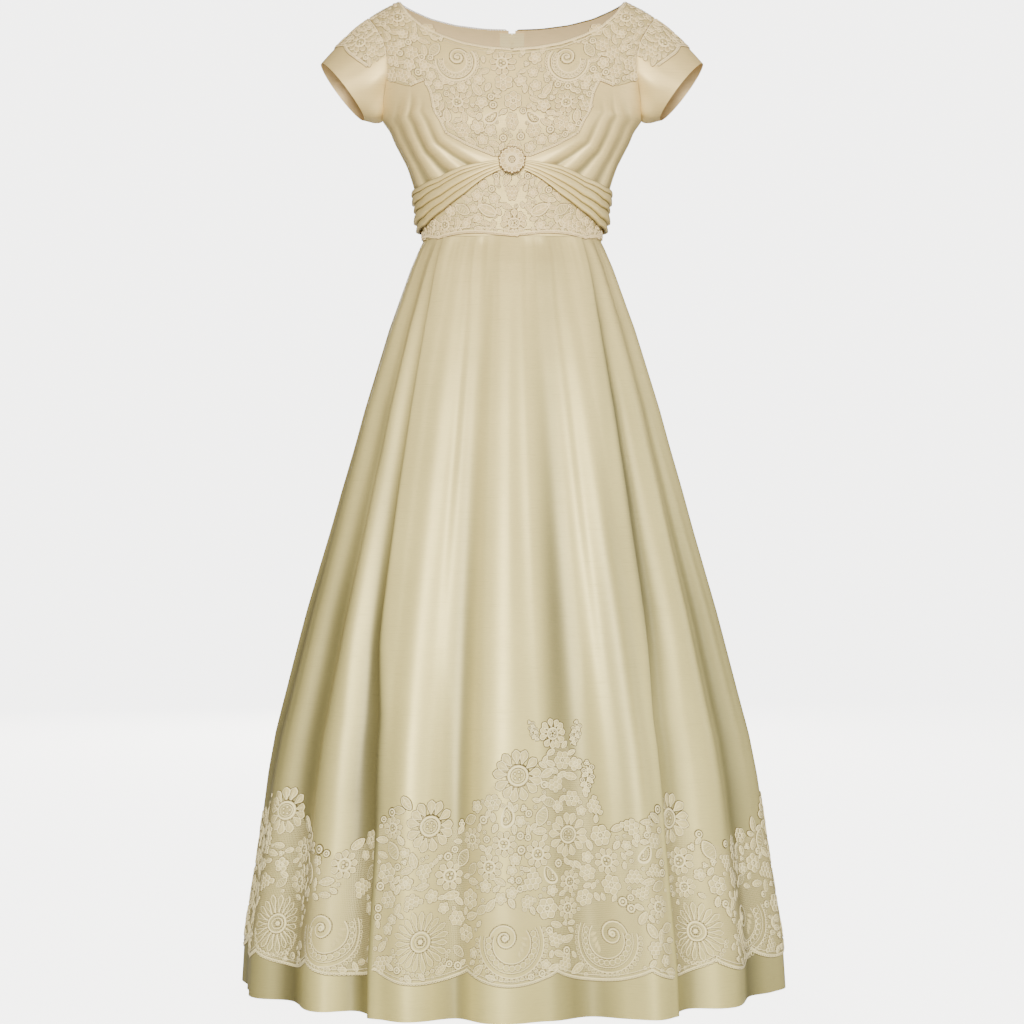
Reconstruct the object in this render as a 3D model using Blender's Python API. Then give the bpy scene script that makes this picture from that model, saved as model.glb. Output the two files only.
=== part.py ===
"""A wedding dress in ivory silk satin with corded lace, hollow and filled out as worn.

Metres, +Z up. The front faces -Y, z = 0 is the level of the neck points on the shoulders,
and the dress hangs below it from the wearer's shoulders. Angles run round the body in
degrees: 0 is centre front, +90 the side at +X and 180 the centre back.
"""

import math

import bpy
import numpy as np

MM = 0.001
WALL_MM = 1.5
SEAM_MM = 0.3
LACE_LIFT_MM = 1.0
LACE_WALL_MM = 1.0
WAIST_MM = -337.0
HEM_MM = -1366.0
UNDERARM_MM = -168.0
YOKE_MM = -117.0
NECK_POINT_X_MM = 160.0
NECK_POINT_Z_MM = -4.0
SHOULDER_SLOPE = 0.55
SHOULDER_ROUND_FRONT_MM = 110.0
SHOULDER_ROUND_BACK_MM = 90.0
SIDE_DEG = 90.0
BACK_DEG = 180.0
STEP_DEG = 0.4
STEP_MM = 0.6

# Columns: height, half width, depth to the front, depth to the back.
FORM = np.array([
    (0, 220, 86, 76),
    (-50, 211, 88, 80),
    (-106, 196, 96, 84),
    (-134, 188, 101, 86),
    (-168, 181, 107, 87),
    (-182, 171, 107, 86),
    (-199, 164, 105, 84),
    (-216, 155, 102, 82),
    (-232, 147, 99, 80),
    (-249, 141, 96, 79),
    (-283, 131, 92, 78),
    (-316, 126, 90, 78),
    (-337, 125, 91, 80),
    (-347, 130, 95, 85),
    (-375, 142, 110, 99),
    (-403, 152, 122, 112),
    (-459, 172, 143, 135),
    (-515, 189, 162, 156),
    (-571, 206, 178, 174),
    (-627, 221, 192, 190),
    (-683, 237, 206, 205),
    (-739, 252, 218, 219),
    (-851, 284, 240, 243),
    (-963, 313, 260, 264),
    (-1019, 328, 269, 274),
    (-1075, 339, 277, 282),
    (-1187, 355, 288, 294),
    (-1299, 373, 296, 302),
    (-1366, 377, 299, 305),
], float)
SQUARENESS = 2.25
SKIRT_SQUARENESS = 2.0

BUST_DEG = 33.0
BUST_MM = -186.0
BUST_SPREAD_DEG = 22.0
BUST_SPREAD_MM = 36.0
BUST_DEPTH_MM = 13.0

# Columns: height, angle of the armhole edge from centre front.
ARMHOLE = np.array([
    (-168, 90), (-160, 79), (-134, 68), (-106, 59), (-80, 56), (-60, 56.5), (-40, 60.5), (-22, 66.6),
], float)

# Columns: distance from the centre, height, for the front and the back neck edge.
NECK_FRONT = np.array([
    (0, -83), (35, -80), (68, -73), (98, -61), (124, -46), (144, -27), (160, -1),
], float)
NECK_BACK = np.array([
    (0, -29), (40, -28), (80, -24), (115, -17), (142, -8), (160, -1),
], float)
SHOULDER_TIP_X_MM = 200.0

# Columns: distance from the centre, height, for the edge of the V of the front yoke.
V_EDGE = np.array([
    (0, -226), (23, -229), (60, -214), (88, -199), (101, -174), (109, -143), (119, -122),
], float)
YOKE_DIP = (142.0, -130.0)

# Columns: angle from centre front, height, for the seam under the bust.
UNDERBUST = np.array([
    (0, -231), (12, -245), (25, -258), (42, -276), (64, -290), (90, -296),
], float)

# Columns: angle, height of the sash's upper edge, height of its lower edge.
SASH = np.array([
    (0, -235, -245), (6, -236, -250), (12, -238, -258), (25, -243, -279), (42, -256, -300),
    (64, -265, -318), (90, -268, -324), (135, -266, -322), (180, -264, -320),
], float)
SASH_START_DEG = 5.0
SASH_PLEATS = 4
SASH_LIFT_MM = 3.0
SASH_FOLD_SHARE = 0.26

# Columns: height, half the opening at the centre back, where the zip lies.
ZIP_OPENING = np.array([
    (-600, 0.2), (-530, 0.2), (-520, 1.0), (-90, 1.0), (-60, 4.4), (0, 4.6),
], float)
ZIP_END_MM = -520.0
TAPE_WIDTH_MM = 13.0
TAPE_WALL_MM = 1.0
TAPE_GAP_MM = 0.9
SLIDER_MM = -38.5
SLIDER_OUTLINE = (
    (-2.6, -5.6), (2.6, -5.6), (3.7, 1.5), (3.4, 4.6), (1.6, 5.6), (-1.6, 5.6), (-3.4, 4.6), (-3.7, 1.5),
)
TAB_OUTLINE = ((-2.2, -22.0), (2.2, -22.0), (3.0, -19.0), (3.0, 0.6), (-3.0, 0.6), (-3.0, -19.0))
HINGE_OUT_MM = 1.35
HINGE_UP_MM = 1.2

# Columns: share across from the V edge, depth, width as a share, for the side front's gathers.
GATHERS = np.array([
    (0.10, 3.4, 0.05), (0.22, 4.4, 0.06), (0.35, 5.0, 0.065), (0.48, 4.2, 0.06), (0.61, 3.4, 0.06),
    (0.76, 2.4, 0.07),
], float)

# Columns: angle at the waist, angle at the hem, depth at the hem, width at the hem in degrees.
FLUTES = np.array([
    (-81, -80, -6, 6),
    (-70, -64, 14, 7),
    (-60, -54, -15, 6.5),
    (-51, -42, 16, 6),
    (-28, -20, 11, 5),
    (-15, -11, -14, 5),
    (-3, -2, 18, 8),
    (12, 16, -20, 7),
    (26, 28.5, 12, 4.5),
    (56, 49, 15, 6.5),
    (66, 62, -14, 6.5),
    (77, 76, 9, 6),
    (104, 104, -12, 8),
    (118, 118, 16, 8),
    (131, 131, -15, 7),
    (144, 144, 16, 8),
    (157, 157, -14, 6),
    (168, 168, 14, 6),
    (-104, -104, -12, 8),
    (-117, -117, 15, 8),
    (-130, -130, -16, 7),
    (-143, -143, 16, 8),
    (-156, -156, -15, 6),
    (-168, -168, 14, 6),
], float)

# Columns: height, angle of the left pleat edge, angle of the right pleat edge.
PLEAT_EDGE = np.array([
    (-333, 45.5, 46.5), (-476, 41.5, 42), (-560, 40, 40.5), (-714, 38, 38.5), (-886, 35.5, 36.5),
    (-983, 32, 34.5), (-1125, 30, 34), (-1366, 29, 34),
], float)
# Columns: side, angle beyond the pleat edge, depth at the hem, width in degrees, for the
# hollow that each pleat leaves beside its fold.
PLEAT_HOLLOW = np.array([
    (-1, 5.0, -17, 5), (1, 5.5, -15, 5),
], float)
# Columns: height, lift of the front panel at its fold, length of the turned-under layer,
# clearance of that layer from the side panel below it.
PLEAT_LIFT = np.array([
    (-333, 5.4, 6, 0.7), (-476, 7.5, 10, 1.2), (-714, 11, 16, 2.2), (-1019, 15, 20, 3.4),
    (-1366, 18, 22, 4.0),
], float)
PLEAT_REACH_DEG = 18.0
PLEAT_LEVEL_DEG = 5.0
ROLL_TURNS = (0, 50, 90, 130, 180)
ROLL_POINTS = len(ROLL_TURNS)
UNDERLAP_DEG = 9.0

# Columns: angle, top height of the hem lace.
LACE_TOP = np.array([
    (-180, -1092), (-168, -1150), (-152, -1078), (-138, -1155), (-122, -1088), (-106, -1150),
    (-90, -1135), (-76, -1122), (-62, -1081), (-52, -1130), (-43, -1158), (-34, -1135), (-22, -1083),
    (-10, -1112), (1, -1014), (6, -1050), (12, -975), (20, -1123), (28, -1110), (36, -1079),
    (46, -1135), (57, -1163), (68, -1140), (80, -1109), (95, -1140), (108, -1155), (122, -1085),
    (138, -1150), (152, -1078), (168, -1145), (180, -1092),
], float)
LACE_BOTTOM_MM = -1319.0
SCALLOPS = 20
SCALLOP_RISE_MM = 17.0

# Rows and columns of the pieces.
YOKE_ROWS = (0, 0.28, 0.55, 0.78, 0.92, 0.985, 1)
SIDE_FRONT_ROWS = 9
SIDE_FRONT_COLUMNS = 21
MIDRIFF_ROWS = 4
MIDRIFF_COLUMNS = 21
MIDRIFF_SCALLOPS = 3.5
MIDRIFF_RISE_MM = 6.0
BACK_ROWS = (-336.8, -300, -268, -235, -205, -183, -168, -150, -134, -117)
SIDES = ((-1, "left"), (1, "right"))
SASH_COLUMNS = 15
GATHER_ROOM_MM = 4.6
SKIRT_ROWS = (-337.3, -352, -385, -435, -505, -595, -690, -790, -890, -985, -1075, -1160, -1245,
              -1319, -1366)
FRONT_COLUMNS = 27
SIDE_COLUMNS = 16
BACK_COLUMNS = 20
HEM_LACE_ROWS = (-1245, -1160, -1075)
HEM_LACE_STEP_MM = 1.2
LACE_START_DEG = 0.35
YOKE_LACE_SIDE = 0.3
YOKE_LACE_FOOT = 0.03
BACK_LACE_SIDE = 0.3
ARMHOLE_FOLLOW = 1.5
JUST_BEHIND = 89.9999
SLEEVE_START_MM = 1.8
HEM_LACE_LIFT_MM = 1.0

# Heights of the points round an armhole, from the shoulder tip down to the underarm.
ARMHOLE_STEPS = (-22, -34, -48, -64, -80, -98, -117, -134, -150, -160, -168)
CUFF_TOP = (268, 2, -86)
CUFF_BOTTOM = (207, 2, -165)
CUFF_FORWARD = (-6.5, -51, 0)
SLEEVE_ROWS = (0, 0.25, 0.5, 0.75, 1)
SLEEVE_PUFF_MM = 3.5
SLEEVE_LACE_ROWS = 4

ROSETTE_MM = -236.0
ROSETTE_RADIUS_MM = 15.5
ROSETTE_PETALS = 10
ROSETTE_POINTS = 24
ROSETTE_LIFT_MM = 9.0

SATIN_TOP = "#E3D6B3"
SATIN_LOW = "#D5CDA8"
LACE_CREAM = "#E6DDC0"
ZIP_IVORY = "#E4DBC2"


def linear(hex_code):
    """An sRGB hex colour as linear red, green and blue."""
    parts = [int(hex_code[i:i + 2], 16) / 255 for i in (1, 3, 5)]
    return [c / 12.92 if c < 0.04045 else ((c + 0.055) / 1.055) ** 2.4 for c in parts]


def material(name, hex_code, roughness):
    """A plain Principled material."""
    made = bpy.data.materials.new(name)
    made.use_nodes = True
    shader = made.node_tree.nodes["Principled BSDF"]
    shader.inputs["Base Color"].default_value = (*linear(hex_code), 1)
    shader.inputs["Roughness"].default_value = roughness
    return made


def table(values, at, column, key=0):
    """One column of a table, read between its rows."""
    order = np.argsort(values[:, key])
    return np.interp(at, values[order, key], values[order, column])


def bump(distance):
    """A soft ridge: 1 in the middle and 0 from a distance of 1."""
    d = np.clip(np.abs(distance), 0, 1)
    return np.cos(d * math.pi / 2) ** 2


def turn_between(angle, middle):
    """The signed difference of two angles, between -180 and 180."""
    return (angle - middle + 180.0) % 360.0 - 180.0


def shoulder_line(x):
    """The height of the shoulder above a distance from the centre."""
    beyond = np.maximum(np.abs(x) - NECK_POINT_X_MM, 0)
    return NECK_POINT_Z_MM + 3.0 - SHOULDER_SLOPE * beyond


def flute_depth(angle, z):
    """How far the skirt's soft folds stand out of, or sink into, its plain form."""
    down = np.clip((WAIST_MM - z) / (WAIST_MM - HEM_MM), 0, 1)
    total = np.zeros(np.broadcast(angle, z).shape)
    for at_waist, at_hem, depth, width in FLUTES:
        middle = at_waist + (at_hem - at_waist) * down
        grown = depth * (0.10 + 0.90 * down ** 0.85)
        total = total + grown * bump(turn_between(angle, middle) / (width * 1.25))
    for side, beyond, depth, width in PLEAT_HOLLOW:
        middle = side * (table(PLEAT_EDGE, z, 2 if side > 0 else 1) + beyond)
        grown = depth * (0.10 + 0.90 * down ** 0.85)
        total = total + grown * bump(turn_between(angle, middle) / (width * 1.25))
    return total * np.clip((WAIST_MM - z) / 12.0, 0, 1)


def form_point(angle, z, lift=0.0):
    """A point of the dress's outer form in mm, lifted off it along the plain form's normal."""
    angle = np.asarray(angle, float)
    z = np.asarray(z, float)
    turn = np.radians(angle)
    half_width = table(FORM, z, 1)
    front = np.abs(turn_between(angle, 0)) <= SIDE_DEG
    depth = np.where(front, table(FORM, z, 2), table(FORM, z, 3))
    blend = np.clip((WAIST_MM + 20 - z) / 120.0, 0, 1)
    power = 2.0 / (SQUARENESS + (SKIRT_SQUARENESS - SQUARENESS) * blend)
    sine, cosine = np.sin(turn), np.cos(turn)
    x = half_width * np.sign(sine) * np.abs(sine) ** power
    out = np.abs(cosine) ** power
    below = np.maximum(shoulder_line(x) - z, 0.0)
    reach = np.where(front, SHOULDER_ROUND_FRONT_MM, SHOULDER_ROUND_BACK_MM)
    rounding = np.sqrt(np.maximum(1 - (1 - np.minimum(below / reach, 1)) ** 2, 0))
    side_of = np.where(front, -1.0, 1.0)
    y = side_of * (depth * out * rounding + SEAM_MM / 2)
    for side in (-1, 1):
        away = (turn_between(angle, side * BUST_DEG) / BUST_SPREAD_DEG) ** 2
        away = away + ((z - BUST_MM) / BUST_SPREAD_MM) ** 2
        y = y - BUST_DEPTH_MM * np.exp(-away)
    normal_x = sine / half_width
    normal_y = -cosine / depth
    length = np.hypot(normal_x, normal_y)
    out_by = flute_depth(angle, z) + lift
    return np.stack([x + out_by * normal_x / length, y + out_by * normal_y / length, z + 0 * x], -1)


def add_object(name, vertices, faces, surface):
    """A mesh object made of points in mm and faces."""
    mesh = bpy.data.meshes.new(name)
    mesh.from_pydata([tuple(v * MM) for v in vertices], [], faces)
    mesh.materials.append(surface)
    made = bpy.data.objects.new(name, mesh)
    DRESS.objects.link(made)
    return made


def wall_from(name, outer, inner, surface, closed=False):
    """One closed body between two grids of points, closed round when the piece is a tube."""
    rows, columns = outer.shape[:2]
    vertices = np.concatenate([outer.reshape(-1, 3), inner.reshape(-1, 3)])
    back = rows * columns
    faces = []
    last = columns if closed else columns - 1
    for i in range(rows - 1):
        for j in range(last):
            k = (j + 1) % columns
            a, b = i * columns + j, i * columns + k
            c, d = b + columns, a + columns
            faces += [(a, b, c), (a, c, d)]
            faces += [(back + a, back + c, back + b), (back + a, back + d, back + c)]
    for j in range(last):
        k = (j + 1) % columns
        top = (rows - 1) * columns
        faces.append((j, back + j, back + k, k))
        faces.append((top + k, back + top + k, back + top + j, top + j))
    if not closed:
        for i in range(rows - 1):
            a, b = i * columns, (i + 1) * columns
            faces.append((b, back + b, back + a, a))
            a, b = a + columns - 1, b + columns - 1
            faces.append((a, back + a, back + b, b))
    return add_object(name, vertices, faces, surface)


def on_form(angles, heights, extra=0.0):
    """Points of the form for grids of angles and heights, and the normals there."""
    outer = form_point(angles, heights, extra)
    step_a = form_point(angles + STEP_DEG, heights, extra) - form_point(angles - STEP_DEG, heights, extra)
    step_z = form_point(angles, heights + STEP_MM, extra) - form_point(angles, heights - STEP_MM, extra)
    normals = np.cross(step_a, step_z)
    on_seam = shoulder_line(outer[..., 0]) - heights < 0.5
    seam_normal = np.stack([SHOULDER_SLOPE * np.sign(outer[..., 0]), 0 * heights, 1 + 0 * heights], -1)
    normals = np.where(on_seam[..., None], seam_normal, normals)
    return outer, normals / np.linalg.norm(normals, axis=2, keepdims=True)


def panel(name, points, normals, surface):
    """A cloth wall whose outer side goes through the points."""
    return wall_from(name, points, points - WALL_MM * normals, surface)


def drawn_in(grid, sides_share, rows_share=(0.0, 0.0)):
    """A grid with its outermost columns and rows moved a share of the way to their neighbours."""
    grid = grid.copy()
    grid[:, 0] += (grid[:, 1] - grid[:, 0]) * sides_share[0]
    grid[:, -1] += (grid[:, -2] - grid[:, -1]) * sides_share[1]
    grid[0] += (grid[1] - grid[0]) * rows_share[0]
    grid[-1] += (grid[-2] - grid[-1]) * rows_share[1]
    return grid


def lace_on(name, points, normals, lift=LACE_LIFT_MM):
    """A layer of lace made from the points of the panel it lies on, moved out."""
    return wall_from(name, points + (lift + LACE_WALL_MM) * normals, points + lift * normals, LACE)


def angle_at(x, z):
    """The angle on the front at which the form is a distance x from the centre."""
    half_width = table(FORM, z, 1)
    share = np.clip(np.abs(x) / half_width, 0, 1)
    return np.sign(x) * np.degrees(np.arcsin(share ** (SQUARENESS / 2)))


def blend(first, last, shares):
    """Curves between two curves, one row for each share."""
    return first[None] + (last - first)[None] * np.asarray(shares)[:, None, None]


def along(curve, count):
    """A curve of two columns taken at equal steps of its length."""
    steps = np.hypot(*np.diff(curve, axis=0).T)
    length = np.concatenate([[0], np.cumsum(steps)])
    at = np.linspace(0, length[-1], count)
    return np.stack([np.interp(at, length, curve[:, i]) for i in (0, 1)], 1)


def edge_in_angles(curve):
    """A curve of distances and heights as angles and heights."""
    return np.stack([angle_at(curve[:, 0], curve[:, 1]), curve[:, 1]], 1)


def top_edge(neck):
    """Neck edge and shoulder seam, from the centre to the shoulder tip, as angles and heights."""
    tip = (SHOULDER_TIP_X_MM, float(shoulder_line(SHOULDER_TIP_X_MM)))
    neck_part = along(edge_in_angles(neck), 9)
    seam = edge_in_angles(np.array([neck[-1], tip]))
    return np.concatenate([neck_part, along(seam, 4)[1:]])


def mirrored(curve):
    """A curve from the centre out to one side, carried on from its mirror image."""
    return np.concatenate([curve[:0:-1] * (-1, 1), curve])


def split(grid):
    """The angles and the heights of a grid of both."""
    return grid[..., 0], grid[..., 1]


def to_armhole(grid):
    """Rows whose last column is moved onto the armhole edge, with the others following it."""
    shares = np.linspace(0, 1, grid.shape[1])
    moved = table(ARMHOLE, grid[:, -1, 1], 1) - grid[:, -1, 0]
    grid = grid.copy()
    grid[..., 0] += moved[:, None] * shares ** ARMHOLE_FOLLOW
    return grid


def yoke_grid():
    """Rows from the V edge up to the neck and shoulders, columns from armhole to armhole."""
    corner = (float(table(ARMHOLE, YOKE_MM, 1)), YOKE_MM)
    dip = edge_in_angles(np.array([V_EDGE[-1], YOKE_DIP]))
    lower = np.concatenate([
        along(edge_in_angles(V_EDGE), 9),
        dip[1:],
        blend(dip[1:], np.array([corner]), (0.5, 1.0))[:, 0],
    ])
    grid = blend(lower, top_edge(NECK_FRONT), YOKE_ROWS)
    return np.stack([mirrored(row) for row in to_armhole(grid)])


def side_front_grid(side):
    """Rows from the seam under the bust up to the yoke, columns from the V edge to the side."""
    rows = np.linspace(0, 1, SIDE_FRONT_ROWS)
    v_edge = along(edge_in_angles(V_EDGE + (0.5, -0.5)), SIDE_FRONT_ROWS)
    armhole = ARMHOLE[ARMHOLE[:, 0] <= YOKE_MM][:, ::-1]
    corner = (float(table(ARMHOLE, YOKE_MM, 1)), YOKE_MM - 0.5)
    outside = np.concatenate([[(90.0, float(table(UNDERBUST, 90, 1)) + 0.3)], armhole, [corner]])
    outside = along(outside, SIDE_FRONT_ROWS)
    across = np.linspace(0, 1, SIDE_FRONT_COLUMNS)
    grid = blend(v_edge, outside, across).transpose(1, 0, 2)
    seam_angles = v_edge[0, 0] + (90.0 - v_edge[0, 0]) * across
    seam = np.stack([seam_angles, table(UNDERBUST, seam_angles, 1) + 0.3], 1)
    seam[0] = np.maximum(v_edge[0], seam[0])
    dip = edge_in_angles(np.array([V_EDGE[-1], YOKE_DIP]))
    top = along(np.concatenate([dip, [corner]]), SIDE_FRONT_COLUMNS)
    top[:, 1] -= 0.5
    grid = grid + (seam - grid[0])[None] * (1 - rows)[:, None, None]
    grid = grid + (top - grid[-1])[None] * rows[:, None, None]
    if side < 0:
        grid = grid[:, ::-1] * (-1, 1)
    return grid, across if side > 0 else across[::-1], rows


def gathered(across, rows):
    """The lift of the side front's gathers, strongest at the sash and gone under the yoke."""
    fade = np.clip(1.15 - rows, 0, 1) ** 0.8 * np.clip((1.0 - rows) / 0.15, 0, 1)
    lift = np.zeros((len(rows), len(across)))
    for middle, depth, width in GATHERS:
        lift = lift + depth * fade[:, None] * bump((across - middle) / width)[None]
    return lift


def back_grid(side):
    """Rows from the waist to the neck and shoulder, columns from the side to the centre back."""
    top = top_edge(NECK_BACK)
    heights = np.array(BACK_ROWS)
    shares = np.linspace(0, 1, len(top))
    rows = []
    for z in heights:
        inner = float(angle_at(np.array(table(ZIP_OPENING, z, 1)), z))
        outer = JUST_BEHIND if z <= UNDERARM_MM else float(table(ARMHOLE, z, 1))
        rows.append(np.stack([inner + (outer - inner) * shares, np.full(len(top), z)], 1))
    grid = np.concatenate([np.stack(rows), blend(rows[-1], top, YOKE_ROWS[1:])])
    opening = table(ZIP_OPENING, grid[:, 0, 1], 1)
    grid[:, 0, 0] = angle_at(opening, grid[:, 0, 1])
    upper = grid[:, -1, 1] > UNDERARM_MM
    grid[upper] = to_armhole(grid[upper])
    grid[..., 0] = BACK_DEG - grid[..., 0]
    return grid[:, ::-1] if side > 0 else grid * (-1, 1)


def make_yoke():
    """The yoke and the lace that covers all of it."""
    angles, heights = split(yoke_grid())
    points, normals = on_form(angles, heights)
    panel("front_yoke", points, normals, SATIN)
    inset = (YOKE_LACE_SIDE, YOKE_LACE_SIDE), (YOKE_LACE_FOOT, 0.0)
    lace_on("lace_yoke", drawn_in(points, *inset), drawn_in(normals, *inset))


def make_side_fronts():
    """The gathered satin between the yoke, the sash and the side seam."""
    for side, word in SIDES:
        grid, across, rows = side_front_grid(side)
        angles, heights = split(grid)
        panel("side_front_" + word, *on_form(angles, heights, gathered(across, rows)), SATIN)


def make_midriff():
    """The midriff and the lace below the sash, scalloped along the waist."""
    angles = np.linspace(-90, 90, MIDRIFF_COLUMNS)
    top = table(UNDERBUST, np.abs(angles), 1) - 0.3
    shares = np.linspace(0, 1, MIDRIFF_ROWS)[:, None]
    heights = WAIST_MM + 0.2 + (top - WAIST_MM - 0.2) * shares
    panel("midriff_front", *on_form(np.tile(angles, (MIDRIFF_ROWS, 1)), heights), SATIN)
    angles = angles[1:-1]
    bottom = WAIST_MM + 0.8 + MIDRIFF_RISE_MM * np.abs(np.sin(np.radians(angles * MIDRIFF_SCALLOPS)))
    top = np.maximum(table(SASH, np.abs(angles), 2) - 1.5, bottom + 2.0)
    heights = bottom + (top - bottom) * shares
    lace_on("lace_midriff", *on_form(np.tile(angles, (MIDRIFF_ROWS, 1)), heights), HEM_LACE_LIFT_MM)


def make_backs():
    """Both backs with the lace that goes on round the neck from the yoke."""
    for side, word in SIDES:
        grid = back_grid(side)
        angles, heights = split(grid)
        points, normals = on_form(angles, heights)
        panel("back_" + word, points, normals, SATIN)
        first = len(BACK_ROWS) - 1
        inset = (BACK_LACE_SIDE, 0.0) if side > 0 else (0.0, BACK_LACE_SIDE)
        lace_on("lace_back_" + word, drawn_in(points[first:], inset), drawn_in(normals[first:], inset))


def armhole_ring(side):
    """The edge of the armhole, from the shoulder down the front and up the back."""
    heights = np.array(ARMHOLE_STEPS, float)
    heights[0] = shoulder_line(SHOULDER_TIP_X_MM)
    angles = table(ARMHOLE, heights, 1)
    front = form_point(side * angles, heights)
    back = form_point(side * (BACK_DEG - angles), heights)
    front[0, 1] = 0
    front[-1, 1] = 0
    return np.concatenate([front, back[-2:0:-1]]), len(front)


def sleeve_grids(side):
    """Outer and inner points of a sleeve, rows from the armhole to the cuff."""
    ring, half = armhole_ring(side)
    lengths = np.linalg.norm(np.roll(ring, -1, 0) - ring, axis=1)
    run = np.concatenate([[0], np.cumsum(lengths)])
    front_share = run[:half] / run[half - 1]
    back_share = (run[half:len(ring)] - run[half - 1]) / (run[-1] - run[half - 1])
    turn = math.pi * np.concatenate([front_share, 1 + back_share])
    top = np.array(CUFF_TOP) * (side, 1, 1)
    bottom = np.array(CUFF_BOTTOM) * (side, 1, 1)
    middle = (top + bottom) / 2
    forward = np.array(CUFF_FORWARD) * (side, 1, 1)
    cuff = middle + np.cos(turn)[:, None] * (top - middle) + np.sin(turn)[:, None] * forward
    toward = cuff - ring
    toward = toward / np.linalg.norm(toward, axis=1, keepdims=True)
    start = ring + toward * SLEEVE_START_MM
    centre = ring.mean(axis=0)
    rows = []
    for share in SLEEVE_ROWS:
        row = start + (cuff - start) * share
        axis_point = centre + (middle - centre) * share
        away = row - axis_point
        away = away / np.linalg.norm(away, axis=1, keepdims=True)
        rows.append((row + away * SLEEVE_PUFF_MM * math.sin(math.pi * share ** 0.8), away))
    outer = np.stack([row for row, _ in rows])
    away = np.stack([way for _, way in rows])
    return outer, outer - WALL_MM * away, away


def facing_out(outer, inner):
    """The same grids with their columns turned round where the faces would point inwards."""
    across = outer[0, 1] - outer[0, 0]
    up = outer[1, 0] - outer[0, 0]
    if np.dot(np.cross(across, up), outer[0, 0] - inner[0, 0]) < 0:
        return outer[:, ::-1], inner[:, ::-1]
    return outer, inner


def make_sleeves():
    """Both sleeves, and the lace that covers their tops."""
    for side, word in SIDES:
        outer, inner, away = sleeve_grids(side)
        wall_from("sleeve_" + word, *facing_out(outer, inner), SATIN, closed=True)
        middle = len(ARMHOLE_STEPS) - 6
        around = list(range(-middle, middle + 1))
        lace_in = (outer + LACE_LIFT_MM * away)[:SLEEVE_LACE_ROWS, around]
        lace_out = (outer + (LACE_LIFT_MM + LACE_WALL_MM) * away)[:SLEEVE_LACE_ROWS, around]
        wall_from("lace_sleeve_" + word, *facing_out(lace_out, lace_in), LACE)


def make_sash():
    """Each half of the sash, folded in pleats that overlap downwards, and the lace rosette."""
    shares, lifts = [0.0], [0.0]
    for pleat in range(SASH_PLEATS):
        for within, height in ((0.12, 1.0), (0.55, 0.75), (1.0, 0.0)):
            shares.append((pleat + within) / SASH_PLEATS)
            lifts.append(height)
    shares, lifts = np.array(shares)[:, None], np.array(lifts)[:, None]
    for side, word in SIDES:
        end = BACK_DEG - 1.2
        angles = SASH_START_DEG + (end - SASH_START_DEG) * np.linspace(0, 1, SASH_COLUMNS) ** 1.15
        upper, lower = table(SASH, angles, 1), table(SASH, angles, 2)
        heights = lower + (upper - lower) * shares
        fold = SASH_FOLD_SHARE * (upper - lower) / SASH_PLEATS
        lift = SASH_LIFT_MM + GATHER_ROOM_MM * np.clip(1.6 - angles / 70, 0, 1) + fold * lifts
        grid = np.tile(angles, (len(shares), 1))
        if side < 0:
            grid, heights, lift = -grid[:, ::-1], heights[:, ::-1], lift[:, ::-1]
        panel("sash_" + word, *on_form(grid, heights, lift), SATIN)
    make_rosette()


def make_rosette():
    """A flower of lace cloth with rounded petals over the middle of the sash."""
    turns = np.linspace(0, 2 * math.pi, ROSETTE_POINTS, endpoint=False)
    middle = form_point(0.0, ROSETTE_MM)
    rings = []
    for share, dome in ((0.15, 1.0), (0.4, 0.8), (0.7, 0.75), (1.0, 0.0)):
        radius = ROSETTE_RADIUS_MM * share * (1 + 0.12 * share * np.cos(turns * ROSETTE_PETALS))
        rings.append(np.stack([
            middle[0] + radius * np.sin(turns),
            middle[1] - ROSETTE_LIFT_MM - 3.0 * dome + 0 * turns,
            middle[2] + radius * np.cos(turns),
        ], 1))
    outer = np.stack(rings)
    inner = outer + (0, 1.6, 0)
    wall_from("sash_rosette", *facing_out(outer[::-1], inner[::-1]), LACE, closed=True)


def pleat_edge(z, side):
    """The angle of the folded edge of the skirt front on one side."""
    return float(table(PLEAT_EDGE, z, 2 if side > 0 else 1))


def back_edge(z):
    """The angle of the centre back edge, which leaves room for the zip."""
    return BACK_DEG - math.degrees(float(table(ZIP_OPENING, z, 1)) / float(table(FORM, z, 1)))


def pleat_lift(angle, z, side):
    """The lift of the skirt front as it rises towards its folded edge."""
    edge = pleat_edge(z, side)
    reach = PLEAT_REACH_DEG - PLEAT_LEVEL_DEG
    share = np.clip((np.abs(angle) - (edge - PLEAT_REACH_DEG)) / reach, 0, 1)
    smooth = share * share * (3 - 2 * share)
    return table(PLEAT_LIFT, z, 1) * smooth


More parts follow.
